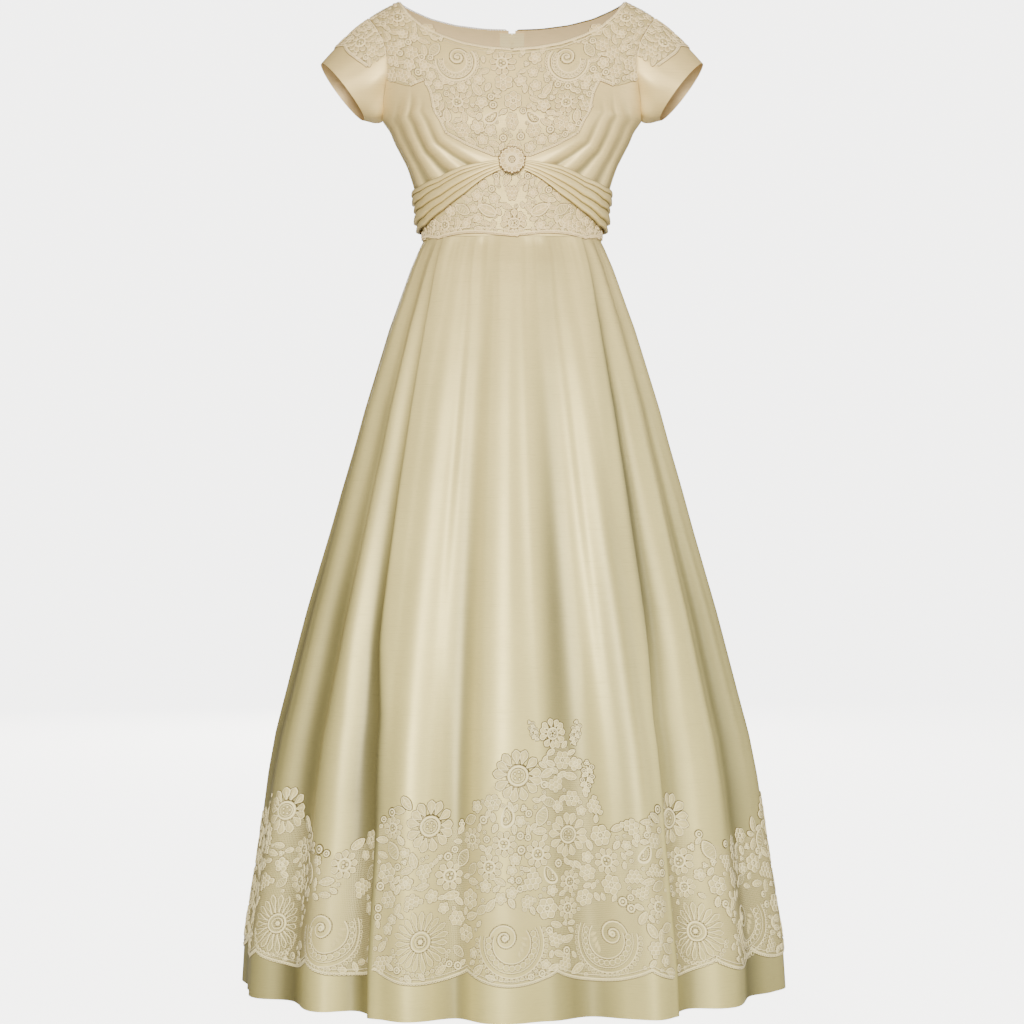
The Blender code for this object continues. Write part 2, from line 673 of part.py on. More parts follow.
def front_columns(z):
    """Angles and lifts of the skirt front at one height, with both turned-under layers."""
    parts = []
    for side in (-1, 1):
        edge = pleat_edge(z, side)
        top = float(table(PLEAT_LIFT, z, 1))
        roll = (top - float(table(PLEAT_LIFT, z, 3))) / 2
        back = float(table(PLEAT_LIFT, z, 2))
        radius = float(table(FORM, z, 1))
        turns = np.radians(ROLL_TURNS)
        across = np.concatenate([roll * (np.sin(turns) - 1), [-roll - back]])
        lift = np.concatenate([top - roll + roll * np.cos(turns), [top - 2 * roll]])
        ways = np.concatenate([turns, [math.pi]])
        angles = edge + np.degrees(across / radius)
        inner = edge + np.degrees((across - WALL_MM * np.sin(ways)) / radius)
        parts.append((side, angles, lift, inner, lift - WALL_MM * np.cos(ways)))
    left, right = parts
    flat = np.linspace(-left[1][0], right[1][0], FRONT_COLUMNS)[1:-1]
    lifts = np.where(flat < 0, pleat_lift(flat, z, -1), pleat_lift(flat, z, 1))
    outer = np.concatenate([-left[1][::-1], flat, right[1]])
    outer_lift = np.concatenate([left[2][::-1], lifts, right[2]])
    inner = np.concatenate([-left[3][::-1], flat, right[3]])
    inner_lift = np.concatenate([left[4][::-1], lifts - WALL_MM, right[4]])
    return outer, outer_lift, inner, inner_lift


def make_skirt_front():
    """The skirt front, whose pleat edges turn under on both sides."""
    rows_out, rows_in = [], []
    for z in SKIRT_ROWS:
        outer, outer_lift, inner, inner_lift = front_columns(z)
        rows_out.append(form_point(outer, np.full(len(outer), z), outer_lift))
        rows_in.append(form_point(inner, np.full(len(inner), z), inner_lift))
    wall_from("skirt_front", np.stack(rows_out[::-1]), np.stack(rows_in[::-1]), SATIN_SKIRT)


def skirt_piece(name, first, last, columns):
    """A skirt panel between two edges, each a function of the height."""
    outer, inner = [], []
    for z in SKIRT_ROWS[::-1]:
        angles = np.linspace(first(z), last(z), columns)
        outer.append(form_point(angles, np.full(columns, z)))
        inner.append(form_point(angles, np.full(columns, z), -WALL_MM))
    wall_from(name, np.stack(outer), np.stack(inner), SATIN_SKIRT)


def make_skirt_sides_and_backs():
    """The two side panels, which start under the front's pleats, and the two backs."""
    behind = BACK_DEG - JUST_BEHIND
    def under_right(z):
        return pleat_edge(z, 1) - UNDERLAP_DEG

    def under_left(z):
        return UNDERLAP_DEG - pleat_edge(z, -1)

    skirt_piece("skirt_side_right", under_right, lambda z: SIDE_DEG, SIDE_COLUMNS)
    skirt_piece("skirt_side_left", lambda z: -SIDE_DEG, under_left, SIDE_COLUMNS)
    skirt_piece("skirt_back_right", lambda z: behind, back_edge, BACK_COLUMNS)
    skirt_piece("skirt_back_left", lambda z: -back_edge(z), lambda z: -behind, BACK_COLUMNS)


def hem_lace(name, row_at, positions_at):
    """Hem lace on a panel, sampled from the panel's own row of points at each height."""
    middle = positions_at(LACE_BOTTOM_MM)[1]
    scallop = np.abs(np.cos(np.radians(middle * SCALLOPS / 2)))
    bottom = LACE_BOTTOM_MM + SCALLOP_RISE_MM * (1 - scallop ** 0.7)
    top = table(LACE_TOP, middle, 1)
    rows_out, rows_in = [], []
    for step, row_height in enumerate((None, *HEM_LACE_ROWS, None)):
        if step == 0:
            heights = bottom
        elif row_height is None:
            heights = top
        else:
            heights = np.minimum(row_height, top - HEM_LACE_STEP_MM * (len(HEM_LACE_ROWS) + 1 - step))
        for rows, extra in ((rows_in, 0.0), (rows_out, LACE_WALL_MM)):
            points = []
            for column, z in enumerate(heights):
                row = row_at(z, HEM_LACE_LIFT_MM + extra)
                at = positions_at(z)[0][column]
                points.append([np.interp(at, np.arange(len(row)), row[:, i]) for i in range(3)])
            rows.append(np.array(points))
    wall_from(name, np.stack(rows_out), np.stack(rows_in), LACE)


def side_and_back_angles(z, side):
    """The columns of a side panel and of the back panel behind it, as one row of angles."""
    inner = pleat_edge(z, side) - UNDERLAP_DEG
    return np.concatenate([
        np.linspace(inner, SIDE_DEG, SIDE_COLUMNS),
        np.linspace(SIDE_DEG, back_edge(z), BACK_COLUMNS)[1:],
    ])


def make_hem_lace():
    """Three lengths of hem lace, each made from the points of the panels it lies on."""
    def front_row(z, lift):
        angles, lifts = front_columns(z)[:2]
        return form_point(angles, np.full(len(angles), z), lifts + lift)

    def front_positions(z):
        angles = front_columns(z)[0]
        at = np.arange(ROLL_POINTS, len(angles) - ROLL_POINTS)
        return at, angles[at]

    hem_lace("lace_hem_front", front_row, front_positions)
    for side, word in SIDES:
        def round_row(z, lift, side=side):
            angles = side_and_back_angles(z, side)
            return form_point(side * angles, np.full(len(angles), z), lift)

        def round_positions(z, side=side):
            angles = side_and_back_angles(z, side)
            start = pleat_edge(z, side) + LACE_START_DEG
            first = np.interp(start, angles, np.arange(len(angles)))
            lowest = side_and_back_angles(LACE_BOTTOM_MM, side)
            skipped = int(np.searchsorted(lowest, pleat_edge(LACE_BOTTOM_MM, side) + 1.0))
            at = np.concatenate([[first], np.arange(skipped, len(angles) - 1), [len(angles) - 1.01]])
            found = np.interp(at, np.arange(len(angles)), angles)
            order = slice(None, None, side)
            return at[order], side * found[order]

        hem_lace("lace_hem_" + word, round_row, round_positions)


def make_zip_tapes():
    """The two woven tapes behind the opening, each with one edge along the teeth."""
    neck = NECK_BACK[0, 1]
    upper = [YOKE_MM + (neck - YOKE_MM) * share for share in YOKE_ROWS[1:-1]]
    rows = [ZIP_END_MM, *SKIRT_ROWS[4:0:-1], *BACK_ROWS, *upper]
    heights = np.array(rows, float)[:, None]
    for side, word in SIDES:
        opening = table(ZIP_OPENING, heights, 1) * np.ones((1, 3))
        across = opening + np.array([0.4, 0.5 * TAPE_WIDTH_MM, TAPE_WIDTH_MM])[None]
        angles = BACK_DEG - angle_at(across, heights)
        if side < 0:
            angles = -angles
        else:
            angles = angles[:, ::-1]
        points, normals = on_form(angles, heights + 0 * angles)
        outer = points - (WALL_MM + TAPE_GAP_MM) * normals
        wall_from("zip_tape_" + word, outer, outer - TAPE_WALL_MM * normals, TAPE)


def slab(name, outline, low, high, surface):
    """A flat plate: an outline of x and z, thick from low to high along y."""
    count = len(outline)
    vertices = [np.array((x, y, z)) for y in (low, high) for x, z in outline]
    faces = [tuple(range(count)), tuple(range(2 * count - 1, count - 1, -1))]
    faces += [(i, i + count, (i + 1) % count + count, (i + 1) % count) for i in range(count)]
    return add_object(name, vertices, faces, surface)


def rectangle(half_width, low, high):
    """Corners of a rectangle about x = 0, anticlockwise seen from the front."""
    return [(-half_width, low), (half_width, low), (half_width, high), (-half_width, high)]


def as_cutter(made):
    """Moves an object into the helpers and hides it from a render."""
    DRESS.objects.unlink(made)
    HELPERS.objects.link(made)
    made.hide_render = True
    made.display_type = "WIRE"
    return made


def boolean(target, other, operation):
    """An exact Boolean of one object with a helper."""
    modifier = target.modifiers.new(operation.lower(), "BOOLEAN")
    modifier.solver = "EXACT"
    modifier.operation = operation
    modifier.object = as_cutter(other)


def make_zip_metal():
    """The painted slider with its bridge, and the pull tab that hangs from it."""
    low, high = form_point(BACK_DEG, SLIDER_MM - 4), form_point(BACK_DEG, SLIDER_MM + 4)
    tilt = math.atan2(low[1] - high[1], high[2] - low[2])
    place = form_point(BACK_DEG, SLIDER_MM) * MM
    body = slab("zip_slider", SLIDER_OUTLINE, -4.4, 0.0, PAINT)
    bridge = slab("bridge", rectangle(0.8, -2.4, 3.8), -0.6, 3.2, PAINT)
    window = slab("bridge_window", rectangle(2.0, -1.4, 2.8), 0.3, 2.4, PAINT)
    boolean(bridge, window, "DIFFERENCE")
    boolean(body, bridge, "UNION")
    tab = slab("zip_pull", TAB_OUTLINE, -0.5, 0.5, PAINT)
    hole = slab("tab_hole", rectangle(1.7, -5.2, -0.6), -2.0, 2.0, PAINT)
    boolean(tab, hole, "DIFFERENCE")
    for made in (body, bridge, window):
        made.location = place
        made.rotation_euler.x = tilt
    hinge = np.array((0.0, HINGE_OUT_MM, HINGE_UP_MM)) * MM
    turned = (
        place[0],
        place[1] + hinge[1] * math.cos(tilt) - hinge[2] * math.sin(tilt),
        place[2] + hinge[1] * math.sin(tilt) + hinge[2] * math.cos(tilt),
    )
    for made in (tab, hole):
        made.location = turned
        made.rotation_euler.x = tilt


for old in list(bpy.data.objects):
    bpy.data.objects.remove(old)
DRESS = bpy.data.collections.new("Wedding dress")
HELPERS = bpy.data.collections.new("Cutters")
for group in (DRESS, HELPERS):
    bpy.context.scene.collection.children.link(group)
HELPERS.hide_render = True

SATIN = material("ivory silk satin, bodice", SATIN_TOP, 0.42)
SATIN_SKIRT = material("ivory silk satin, skirt", SATIN_LOW, 0.42)
LACE = material("cream corded cotton lace", LACE_CREAM, 0.75)
TAPE = material("woven zip tape", ZIP_IVORY, 0.8)
PAINT = material("ivory painted metal", ZIP_IVORY, 0.4)

make_yoke()
make_side_fronts()
make_midriff()
make_backs()
make_sleeves()
make_sash()
make_skirt_front()
make_skirt_sides_and_backs()
make_hem_lace()
make_zip_tapes()
make_zip_metal()
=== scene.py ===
# %% [markdown]
# # A wedding dress in ivory silk satin with corded lace
#
# The dress is cut in a few big satin panels with lace sewn on top. This lesson builds each panel
# as a thin sheet of cloth on one shared form, and then sews the lace on with small raised motifs.
# The frame comes first. It is the plain model that every piece is fitted to.

# %% Load the frame
import math

import bpy
import numpy as np
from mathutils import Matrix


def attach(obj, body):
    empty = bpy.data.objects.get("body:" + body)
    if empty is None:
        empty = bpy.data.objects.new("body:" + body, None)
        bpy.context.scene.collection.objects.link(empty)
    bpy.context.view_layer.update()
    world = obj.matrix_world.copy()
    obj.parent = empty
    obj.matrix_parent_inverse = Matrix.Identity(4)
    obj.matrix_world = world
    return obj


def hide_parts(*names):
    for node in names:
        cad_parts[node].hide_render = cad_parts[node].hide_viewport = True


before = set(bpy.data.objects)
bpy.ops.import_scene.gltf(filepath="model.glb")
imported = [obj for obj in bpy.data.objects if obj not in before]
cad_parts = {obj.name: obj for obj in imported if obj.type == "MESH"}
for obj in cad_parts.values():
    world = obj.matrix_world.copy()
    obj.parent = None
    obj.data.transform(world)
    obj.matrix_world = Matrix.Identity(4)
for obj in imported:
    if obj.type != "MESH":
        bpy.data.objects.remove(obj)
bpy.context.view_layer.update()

print("frame:", len(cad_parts), "nodes")

# %% [markdown]
# ## The form
#
# A dressmaker works on a dress form. Ours is a stack of rounded outlines, one for each height,
# given as half widths and depths in millimetres. z = 0 is the level of the neck points, the front
# faces -Y, and angles run round the body from the centre front, with the centre back at 180.
# Tables with named columns are easy to read and to change, so the form, the seams and the folds
# are all kept that way.

# %% Sizes of the dress
MM = 0.001
CLOTH_MM = 0.8
SEAM_MM = 0.3
WAIST_MM = -337.0
HEM_MM = -1366.0
UNDERARM_MM = -168.0
YOKE_MM = -117.0
NECK_POINT_X_MM = 160.0
NECK_POINT_Z_MM = -4.0
SHOULDER_SLOPE = 0.55
SHOULDER_ROUND_FRONT_MM = 110.0
SHOULDER_ROUND_BACK_MM = 90.0
SIDE_DEG = 90.0
BACK_DEG = 180.0
STEP_DEG = 0.4
STEP_MM = 0.6
SIDES = ((-1, "left"), (1, "right"))

# %% Form and seam tables
# Columns: height, half width, depth to the front, depth to the back.
FORM = np.array([
    (0, 220, 86, 76),
    (-50, 211, 88, 80),
    (-106, 196, 96, 84),
    (-134, 188, 101, 86),
    (-168, 181, 107, 87),
    (-182, 171, 107, 86),
    (-199, 164, 105, 84),
    (-216, 155, 102, 82),
    (-232, 147, 99, 80),
    (-249, 141, 96, 79),
    (-283, 131, 92, 78),
    (-316, 126, 90, 78),
    (-337, 125, 91, 80),
    (-347, 130, 95, 85),
    (-375, 142, 110, 99),
    (-403, 152, 122, 112),
    (-459, 172, 143, 135),
    (-515, 189, 162, 156),
    (-571, 206, 178, 174),
    (-627, 221, 192, 190),
    (-683, 237, 206, 205),
    (-739, 252, 218, 219),
    (-851, 284, 240, 243),
    (-963, 313, 260, 264),
    (-1019, 328, 269, 274),
    (-1075, 339, 277, 282),
    (-1187, 355, 288, 294),
    (-1299, 373, 296, 302),
    (-1366, 377, 299, 305),
], float)
SQUARENESS = 2.25
SKIRT_SQUARENESS = 2.0

BUST_DEG = 33.0
BUST_MM = -186.0
BUST_SPREAD_DEG = 22.0
BUST_SPREAD_MM = 36.0
BUST_DEPTH_MM = 13.0

# Columns: height, angle of the armhole edge from centre front.
ARMHOLE = np.array([
    (-168, 90), (-160, 79), (-134, 68), (-106, 59), (-80, 56), (-60, 56.5), (-40, 60.5), (-22, 66.6),
], float)

# Columns: distance from the centre, height, for the front and the back neck edge.
NECK_FRONT = np.array([
    (0, -83), (35, -80), (68, -73), (98, -61), (124, -46), (144, -27), (160, -1),
], float)
NECK_BACK = np.array([
    (0, -29), (40, -28), (80, -24), (115, -17), (142, -8), (160, -1),
], float)
SHOULDER_TIP_X_MM = 200.0

# Columns: distance from the centre, height, for the edge of the V of the front yoke.
V_EDGE = np.array([
    (0, -226), (23, -229), (60, -214), (88, -199), (101, -174), (109, -143), (119, -122),
], float)
YOKE_DIP = (142.0, -130.0)

# Columns: angle from centre front, height, for the seam under the bust.
UNDERBUST = np.array([
    (0, -231), (12, -245), (25, -258), (42, -276), (64, -290), (90, -296),
], float)

# Columns: angle, height of the sash's upper edge, height of its lower edge.
SASH = np.array([
    (0, -235, -245), (6, -236, -250), (12, -238, -258), (25, -243, -279), (42, -256, -300),
    (64, -265, -318), (90, -268, -324), (135, -266, -322), (180, -264, -320),
], float)

# Columns: angle at the waist, angle at the hem, depth at the hem, width at the hem in degrees.
FLUTES = np.array([
    (-81, -80, -6, 6),
    (-70, -64, 14, 7),
    (-60, -54, -15, 6.5),
    (-51, -42, 16, 6),
    (-28, -20, 11, 5),
    (-15, -11, -14, 5),
    (-3, -2, 18, 8),
    (12, 16, -20, 7),
    (26, 28.5, 12, 4.5),
    (56, 49, 15, 6.5),
    (66, 62, -14, 6.5),
    (77, 76, 9, 6),
    (104, 104, -12, 8),
    (118, 118, 16, 8),
    (131, 131, -15, 7),
    (144, 144, 16, 8),
    (157, 157, -14, 6),
    (168, 168, 14, 6),
    (-104, -104, -12, 8),
    (-117, -117, 15, 8),
    (-130, -130, -16, 7),
    (-143, -143, 16, 8),
    (-156, -156, -15, 6),
    (-168, -168, 14, 6),
], float)

# Columns: height, angle of the left pleat edge, angle of the right pleat edge.
PLEAT_EDGE = np.array([
    (-333, 45.5, 46.5), (-476, 41.5, 42), (-560, 40, 40.5), (-714, 38, 38.5), (-886, 35.5, 36.5),
    (-983, 32, 34.5), (-1125, 30, 34), (-1366, 29, 34),
], float)
# Columns: side, angle beyond the pleat edge, depth at the hem, width in degrees, for the
# hollow that each pleat leaves beside its fold.
PLEAT_HOLLOW = np.array([
    (-1, 5.0, -17, 5), (1, 5.5, -15, 5),
], float)
# Columns: height, lift of the front panel at its fold, length of the turned-under layer,
# clearance of that layer from the side panel below it.
PLEAT_LIFT = np.array([
    (-333, 5.4, 6, 0.7), (-476, 7.5, 10, 1.2), (-714, 11, 16, 2.2), (-1019, 15, 20, 3.4),
    (-1366, 18, 22, 4.0),
], float)


def table(values, at, column, key=0):
    """One column of a table, read between its rows."""
    order = np.argsort(values[:, key])
    return np.interp(at, values[order, key], values[order, column])


def bump(distance):
    """A soft ridge: 1 in the middle and 0 from a distance of 1."""
    d = np.clip(np.abs(distance), 0, 1)
    return np.cos(d * math.pi / 2) ** 2


def turn_between(angle, middle):
    """The signed difference of two angles, between -180 and 180."""
    return (angle - middle + 180.0) % 360.0 - 180.0


def shoulder_line(x):
    """The height of the shoulder above a distance from the centre."""
    beyond = np.maximum(np.abs(x) - NECK_POINT_X_MM, 0)
    return NECK_POINT_Z_MM + 3.0 - SHOULDER_SLOPE * beyond


def flute_depth(angle, z):
    """How far the skirt's soft folds stand out of, or sink into, its plain form."""
    down = np.clip((WAIST_MM - z) / (WAIST_MM - HEM_MM), 0, 1)
    total = np.zeros(np.broadcast(angle, z).shape)
    for at_waist, at_hem, depth, width in FLUTES:
        middle = at_waist + (at_hem - at_waist) * down
        grown = depth * (0.10 + 0.90 * down ** 0.85)
        total = total + grown * bump(turn_between(angle, middle) / (width * 1.25))
    for side, beyond, depth, width in PLEAT_HOLLOW:
        middle = side * (table(PLEAT_EDGE, z, 2 if side > 0 else 1) + beyond)
        grown = depth * (0.10 + 0.90 * down ** 0.85)
        total = total + grown * bump(turn_between(angle, middle) / (width * 1.25))
    return total * np.clip((WAIST_MM - z) / 12.0, 0, 1)


print("form:", len(FORM), "outlines,", len(FLUTES), "folds")

# %% [markdown]
# ## Small creases
#
# The big folds come from the table. Real satin also has small creases: soft puckers where the
# waist is gathered, which fade a hand's width lower, and long faint waves on the way down. They
# are uneven, so each one has its own place, depth and width. On the bodice the cloth between the
# yoke and the sash is gathered, so its creases run from the sash up to the bust.

# %% Creases of the skirt
# Columns: angle, depth in mm, width in degrees, height where it has faded.
WAIST_GATHERS = np.array([
    (-41, 1.6, 2.2, -460), (-36, -2.0, 2.0, -520), (-30.5, 1.2, 1.6, -430), (-25, -1.7, 1.8, -500),
    (-20.5, 1.9, 1.6, -470), (-16.5, -2.2, 1.5, -540), (-12.8, 2.0, 1.4, -480), (-9.2, -1.5, 1.3, -430),
    (-5.6, 1.9, 1.5, -500), (-1.8, -1.7, 1.4, -450), (2.4, 1.3, 1.3, -420), (6.6, -2.1, 1.6, -530),
    (10.6, 1.8, 1.5, -470), (15.2, -1.6, 1.6, -440), (20, 2.1, 1.9, -520), (25.5, -1.5, 1.8, -450),
    (31, 1.4, 1.9, -500), (37, -1.9, 2.0, -470), (56, 1.6, 2.4, -470), (63, -1.9, 2.4, -520),
    (71, 1.5, 2.2, -450), (79, -1.6, 2.2, -500), (98, 1.8, 2.4, -520), (107, -1.8, 2.3, -470),
    (115, 1.6, 2.2, -500), (124, -2.0, 2.4, -540), (133, 1.8, 2.3, -460), (141, -1.7, 2.2, -500),
    (150, 1.9, 2.2, -520), (158, -1.6, 2.0, -470), (166, 1.5, 1.9, -450), (173, -1.6, 1.8, -500),
    (-55, -1.7, 2.3, -480), (-62, 1.8, 2.3, -520), (-70, -1.5, 2.2, -460), (-78, 1.7, 2.2, -500),
    (-99, -1.8, 2.4, -480), (-108, 1.7, 2.3, -520), (-117, -1.9, 2.4, -500), (-126, 1.6, 2.2, -470),
    (-135, -1.8, 2.3, -530), (-143, 1.7, 2.2, -460), (-152, -1.7, 2.1, -500), (-160, 1.8, 2.0, -520),
    (-168, -1.5, 1.9, -460), (-174, 1.4, 1.7, -490),
], float)
# Columns: angle at the waist, angle at the hem, depth, width in degrees, height of its middle,
# half its length.
LONG_CREASES = np.array([
    (-21, -17.5, -2.0, 3.0, -640, 300), (1.5, 4, -2.0, 3.6, -700, 380), (19.5, 22, 2.0, 3.2, -800, 420),
    (50, 42, 3.0, 3.2, -640, 260), (58, 55, -3.4, 3.8, -900, 380),
    (68, 70, 3.0, 3.8, -820, 330), (84, 86, -2.8, 3.6, -1000, 300), (96, 95, 3.2, 3.8, -760, 360),
    (111, 112, -3.0, 3.8, -900, 380), (125, 124, 3.2, 3.6, -820, 380), (138, 139, -3.2, 3.6, -960, 340),
    (150, 151, 3.0, 3.6, -780, 360), (162, 163, -2.8, 3.2, -900, 360), (174, 174, 2.4, 2.8, -820, 340),
    (-56, -48, -3.0, 3.4, -700, 320), (-66, -60, 3.4, 3.8, -930, 380), (-76, -71, -3.0, 3.4, -820, 320),
    (-88, -88, 3.0, 3.6, -900, 330), (-98, -97, -3.2, 3.8, -780, 360), (-111, -111, 3.2, 3.6, -920, 360),
    (-123, -124, -3.0, 3.6, -820, 360), (-137, -137, 3.2, 3.6, -860, 380), (-149, -150, -3.2, 3.6, -940, 340),
    (-162, -162, 3.0, 3.6, -800, 360), (-173, -173, -2.4, 2.8, -900, 340),
], float)


GATHER_SHARE = 0.5


def crease_depth(angle, z):
    """How far the skirt's small creases stand out of the big folds, in mm."""
    total = np.zeros(np.broadcast(angle, z).shape)
    for middle, depth, width, end in WAIST_GATHERS:
        fade = np.clip((z - end) / (WAIST_MM - end), 0, 1) ** 1.4
        total = total + GATHER_SHARE * depth * fade * bump(turn_between(angle, middle) / (width * 1.5))
    down = np.clip((WAIST_MM - z) / (WAIST_MM - HEM_MM), 0, 1)
    for at_waist, at_hem, depth, width, middle, half in LONG_CREASES:
        centre = at_waist + (at_hem - at_waist) * down
        total = total + depth * bump((z - middle) / half) * bump(turn_between(angle, centre) / width)
    return total * np.clip((WAIST_MM - z) / 12.0, 0, 1)


print("creases:", len(WAIST_GATHERS), "at the waist and", len(LONG_CREASES), "long ones")

# %% Points on the form

def form_point(angle, z, lift=0.0):
    """A point of the dress's outer form in mm, lifted off it along the plain form's normal."""
    angle = np.asarray(angle, float)
    z = np.asarray(z, float)
    turn = np.radians(angle)
    half_width = table(FORM, z, 1)
    front = np.abs(turn_between(angle, 0)) <= SIDE_DEG
    depth = np.where(front, table(FORM, z, 2), table(FORM, z, 3))
    blend = np.clip((WAIST_MM + 20 - z) / 120.0, 0, 1)
    power = 2.0 / (SQUARENESS + (SKIRT_SQUARENESS - SQUARENESS) * blend)
    sine, cosine = np.sin(turn), np.cos(turn)
    x = half_width * np.sign(sine) * np.abs(sine) ** power
    out = np.abs(cosine) ** power
    below = np.maximum(shoulder_line(x) - z, 0.0)
    reach = np.where(front, SHOULDER_ROUND_FRONT_MM, SHOULDER_ROUND_BACK_MM)
    rounding = np.sqrt(np.maximum(1 - (1 - np.minimum(below / reach, 1)) ** 2, 0))
    side_of = np.where(front, -1.0, 1.0)
    y = side_of * (depth * out * rounding + SEAM_MM / 2)
    for side in (-1, 1):
        away = (turn_between(angle, side * BUST_DEG) / BUST_SPREAD_DEG) ** 2
        away = away + ((z - BUST_MM) / BUST_SPREAD_MM) ** 2
        y = y - BUST_DEPTH_MM * np.exp(-away)
    normal_x = sine / half_width
    normal_y = -cosine / depth
    length = np.hypot(normal_x, normal_y)
    out_by = flute_depth(angle, z) + crease_depth(angle, z) + lift
    return np.stack([x + out_by * normal_x / length, y + out_by * normal_y / length, z + 0 * x], -1)



def on_form(angles, heights, extra=0.0):
    """Points of the form for grids of angles and heights, and the normals there."""
    outer = form_point(angles, heights, extra)
    step_a = form_point(angles + STEP_DEG, heights, extra) - form_point(angles - STEP_DEG, heights, extra)
    step_z = form_point(angles, heights + STEP_MM, extra) - form_point(angles, heights - STEP_MM, extra)
    normals = np.cross(step_a, step_z)
    on_seam = shoulder_line(outer[..., 0]) - heights < 0.5
    seam_normal = np.stack([SHOULDER_SLOPE * np.sign(outer[..., 0]), 0 * heights, 1 + 0 * heights], -1)
    normals = np.where(on_seam[..., None], seam_normal, normals)
    return outer, normals / np.linalg.norm(normals, axis=-1, keepdims=True)


print("front of the waist:", form_point(0.0, WAIST_MM).round(1), "mm")

# %% [markdown]
# ## From a grid to a sheet of cloth
#
# Cloth could be a single layer of faces with a Solidify modifier. Here each sheet is built as two
# layers with a closed rim, because the inside then gets its own, warmer finish, as the inside of a
# dress seen through its neck does. A UV map in metres carries the weave, so the threads run along
# the cut of each panel and not along the world's axes.

# %% Mesh helpers
def add_piece(name, vertices, quads, materials, inside=None, uv=None, shade=None, mark="crown"):
    """A smooth mesh object from points in mm and rows of four point numbers."""
    mesh = bpy.data.meshes.new(name)
    mesh.from_pydata((vertices * MM).tolist(), [], quads.tolist())
    for surface in materials:
        mesh.materials.append(surface)
    if inside is not None:
        mesh.polygons.foreach_set("material_index", inside.astype(np.int32))
    if uv is not None:
        layer = mesh.uv_layers.new(name="weave")
        layer.data.foreach_set("uv", uv[quads.ravel()].astype(np.float32).ravel())
    if shade is not None:
        made = mesh.attributes.new(mark, "FLOAT", "POINT")
        made.data.foreach_set("value", shade.astype(np.float32))
    mesh.shade_smooth()
    mesh.set_sharp_from_angle(angle=math.radians(55))
    mesh.update()
    piece = bpy.data.objects.new(name, mesh)
    bpy.context.scene.collection.objects.link(piece)
    return piece


def grid_quads(rows, columns, start=0, closed=False):
    """Rows of four point numbers for a grid of points, closed round for a tube."""
    wide = columns if closed else columns - 1
    i = np.arange(rows - 1)[:, None]
    j = np.arange(wide)[None]
    k = (j + 1) % columns
    quads = np.stack([i * columns + j, i * columns + k, (i + 1) * columns + k, (i + 1) * columns + j], -1)
    return quads.reshape(-1, 4) + start


def arc_lengths(points):
    """Distance along each row of points from its middle, in metres."""
    steps = np.linalg.norm(np.diff(points, axis=1), axis=2)
    run = np.concatenate([np.zeros((len(points), 1)), np.cumsum(steps, axis=1)], axis=1)
    return (run - run[:, run.shape[1] // 2][:, None]) * MM


def cloth(name, outer, inner, materials, closed=False, painted_shade=None):
    """A sheet of cloth between two grids of points, with a closed rim and, if given, painted shade on its points."""
    rows, columns = outer.shape[:2]
    count = rows * columns
    front = grid_quads(rows, columns, 0, closed)
    back = grid_quads(rows, columns, count, closed)[:, ::-1]
    j = np.arange(columns if closed else columns - 1)
    k = (j + 1) % columns
    top = (rows - 1) * columns
    rim = [np.stack([j, count + j, count + k, k], 1)]
    rim.append(np.stack([top + k, count + top + k, count + top + j, top + j], 1))
    if not closed:
        i = np.arange(rows - 1) * columns
        rim.append(np.stack([i + columns, count + i + columns, count + i, i], 1))
        i = i + columns - 1
        rim.append(np.stack([i, count + i, count + i + columns, i + columns], 1))
    rim = np.concatenate(rim)
    inside = np.concatenate([np.zeros(len(front)), np.ones(len(back)), np.zeros(len(rim))])
    up = outer[..., 2] * MM
    uv = np.stack([arc_lengths(outer), up], -1).reshape(-1, 2)
    made = add_piece(
        name,
        np.concatenate([outer.reshape(-1, 3), inner.reshape(-1, 3)]),
        np.concatenate([front, back, rim]),
        materials,
        inside if len(materials) > 1 else None,
        np.concatenate([uv, uv]),
        # The painted shade of each point, for both layers.
        None if painted_shade is None else np.tile(painted_shade.ravel(), 2),
        "painted_shade",
    )
    return made


# %% [markdown]
# ## Materials
#
# The dress is silk satin with a slubbed weft: a warp-faced weave that is smooth and gives long
# soft highlights, with a few thicker weft threads that show as fine lines across the panels. The
# lace is cotton: matte, a little lighter, with thick cords round every motif.

# %% Colour and node helpers
def linear(hex_code):
    """An sRGB hex colour as linear red, green, blue and alpha."""
    parts = [int(hex_code[i:i + 2], 16) / 255 for i in (1, 3, 5)]
    return (*[c / 12.92 if c < 0.04045 else ((c + 0.055) / 1.055) ** 2.4 for c in parts], 1.0)


def add_node(tree, kind, inputs=None, **settings):
    """Adds one node with its settings, and sets or links its inputs."""
    node = tree.nodes.new(kind)
    for name, value in settings.items():
        setattr(node, name, value)
    for name, value in (inputs or {}).items():
        if isinstance(value, bpy.types.NodeSocket):
            tree.links.new(value, node.inputs[name])
        else:
            node.inputs[name].default_value = value
    return node


def set_ramp(node, stops):
    """Gives a colour ramp its stops, each a place and a hex colour or a grey."""
    ramp = node.color_ramp
    while len(ramp.elements) < len(stops):
        ramp.elements.new(0.5)
    for element, (place, colour) in zip(ramp.elements, stops):
        element.position = place
        element.color = linear(colour) if isinstance(colour, str) else (colour, colour, colour, 1)


def new_material(name):
    """A material with its tree and its Principled shader."""
    made = bpy.data.materials.new(name)
    made.use_nodes = True
    return made, made.node_tree, made.node_tree.nodes["Principled BSDF"]
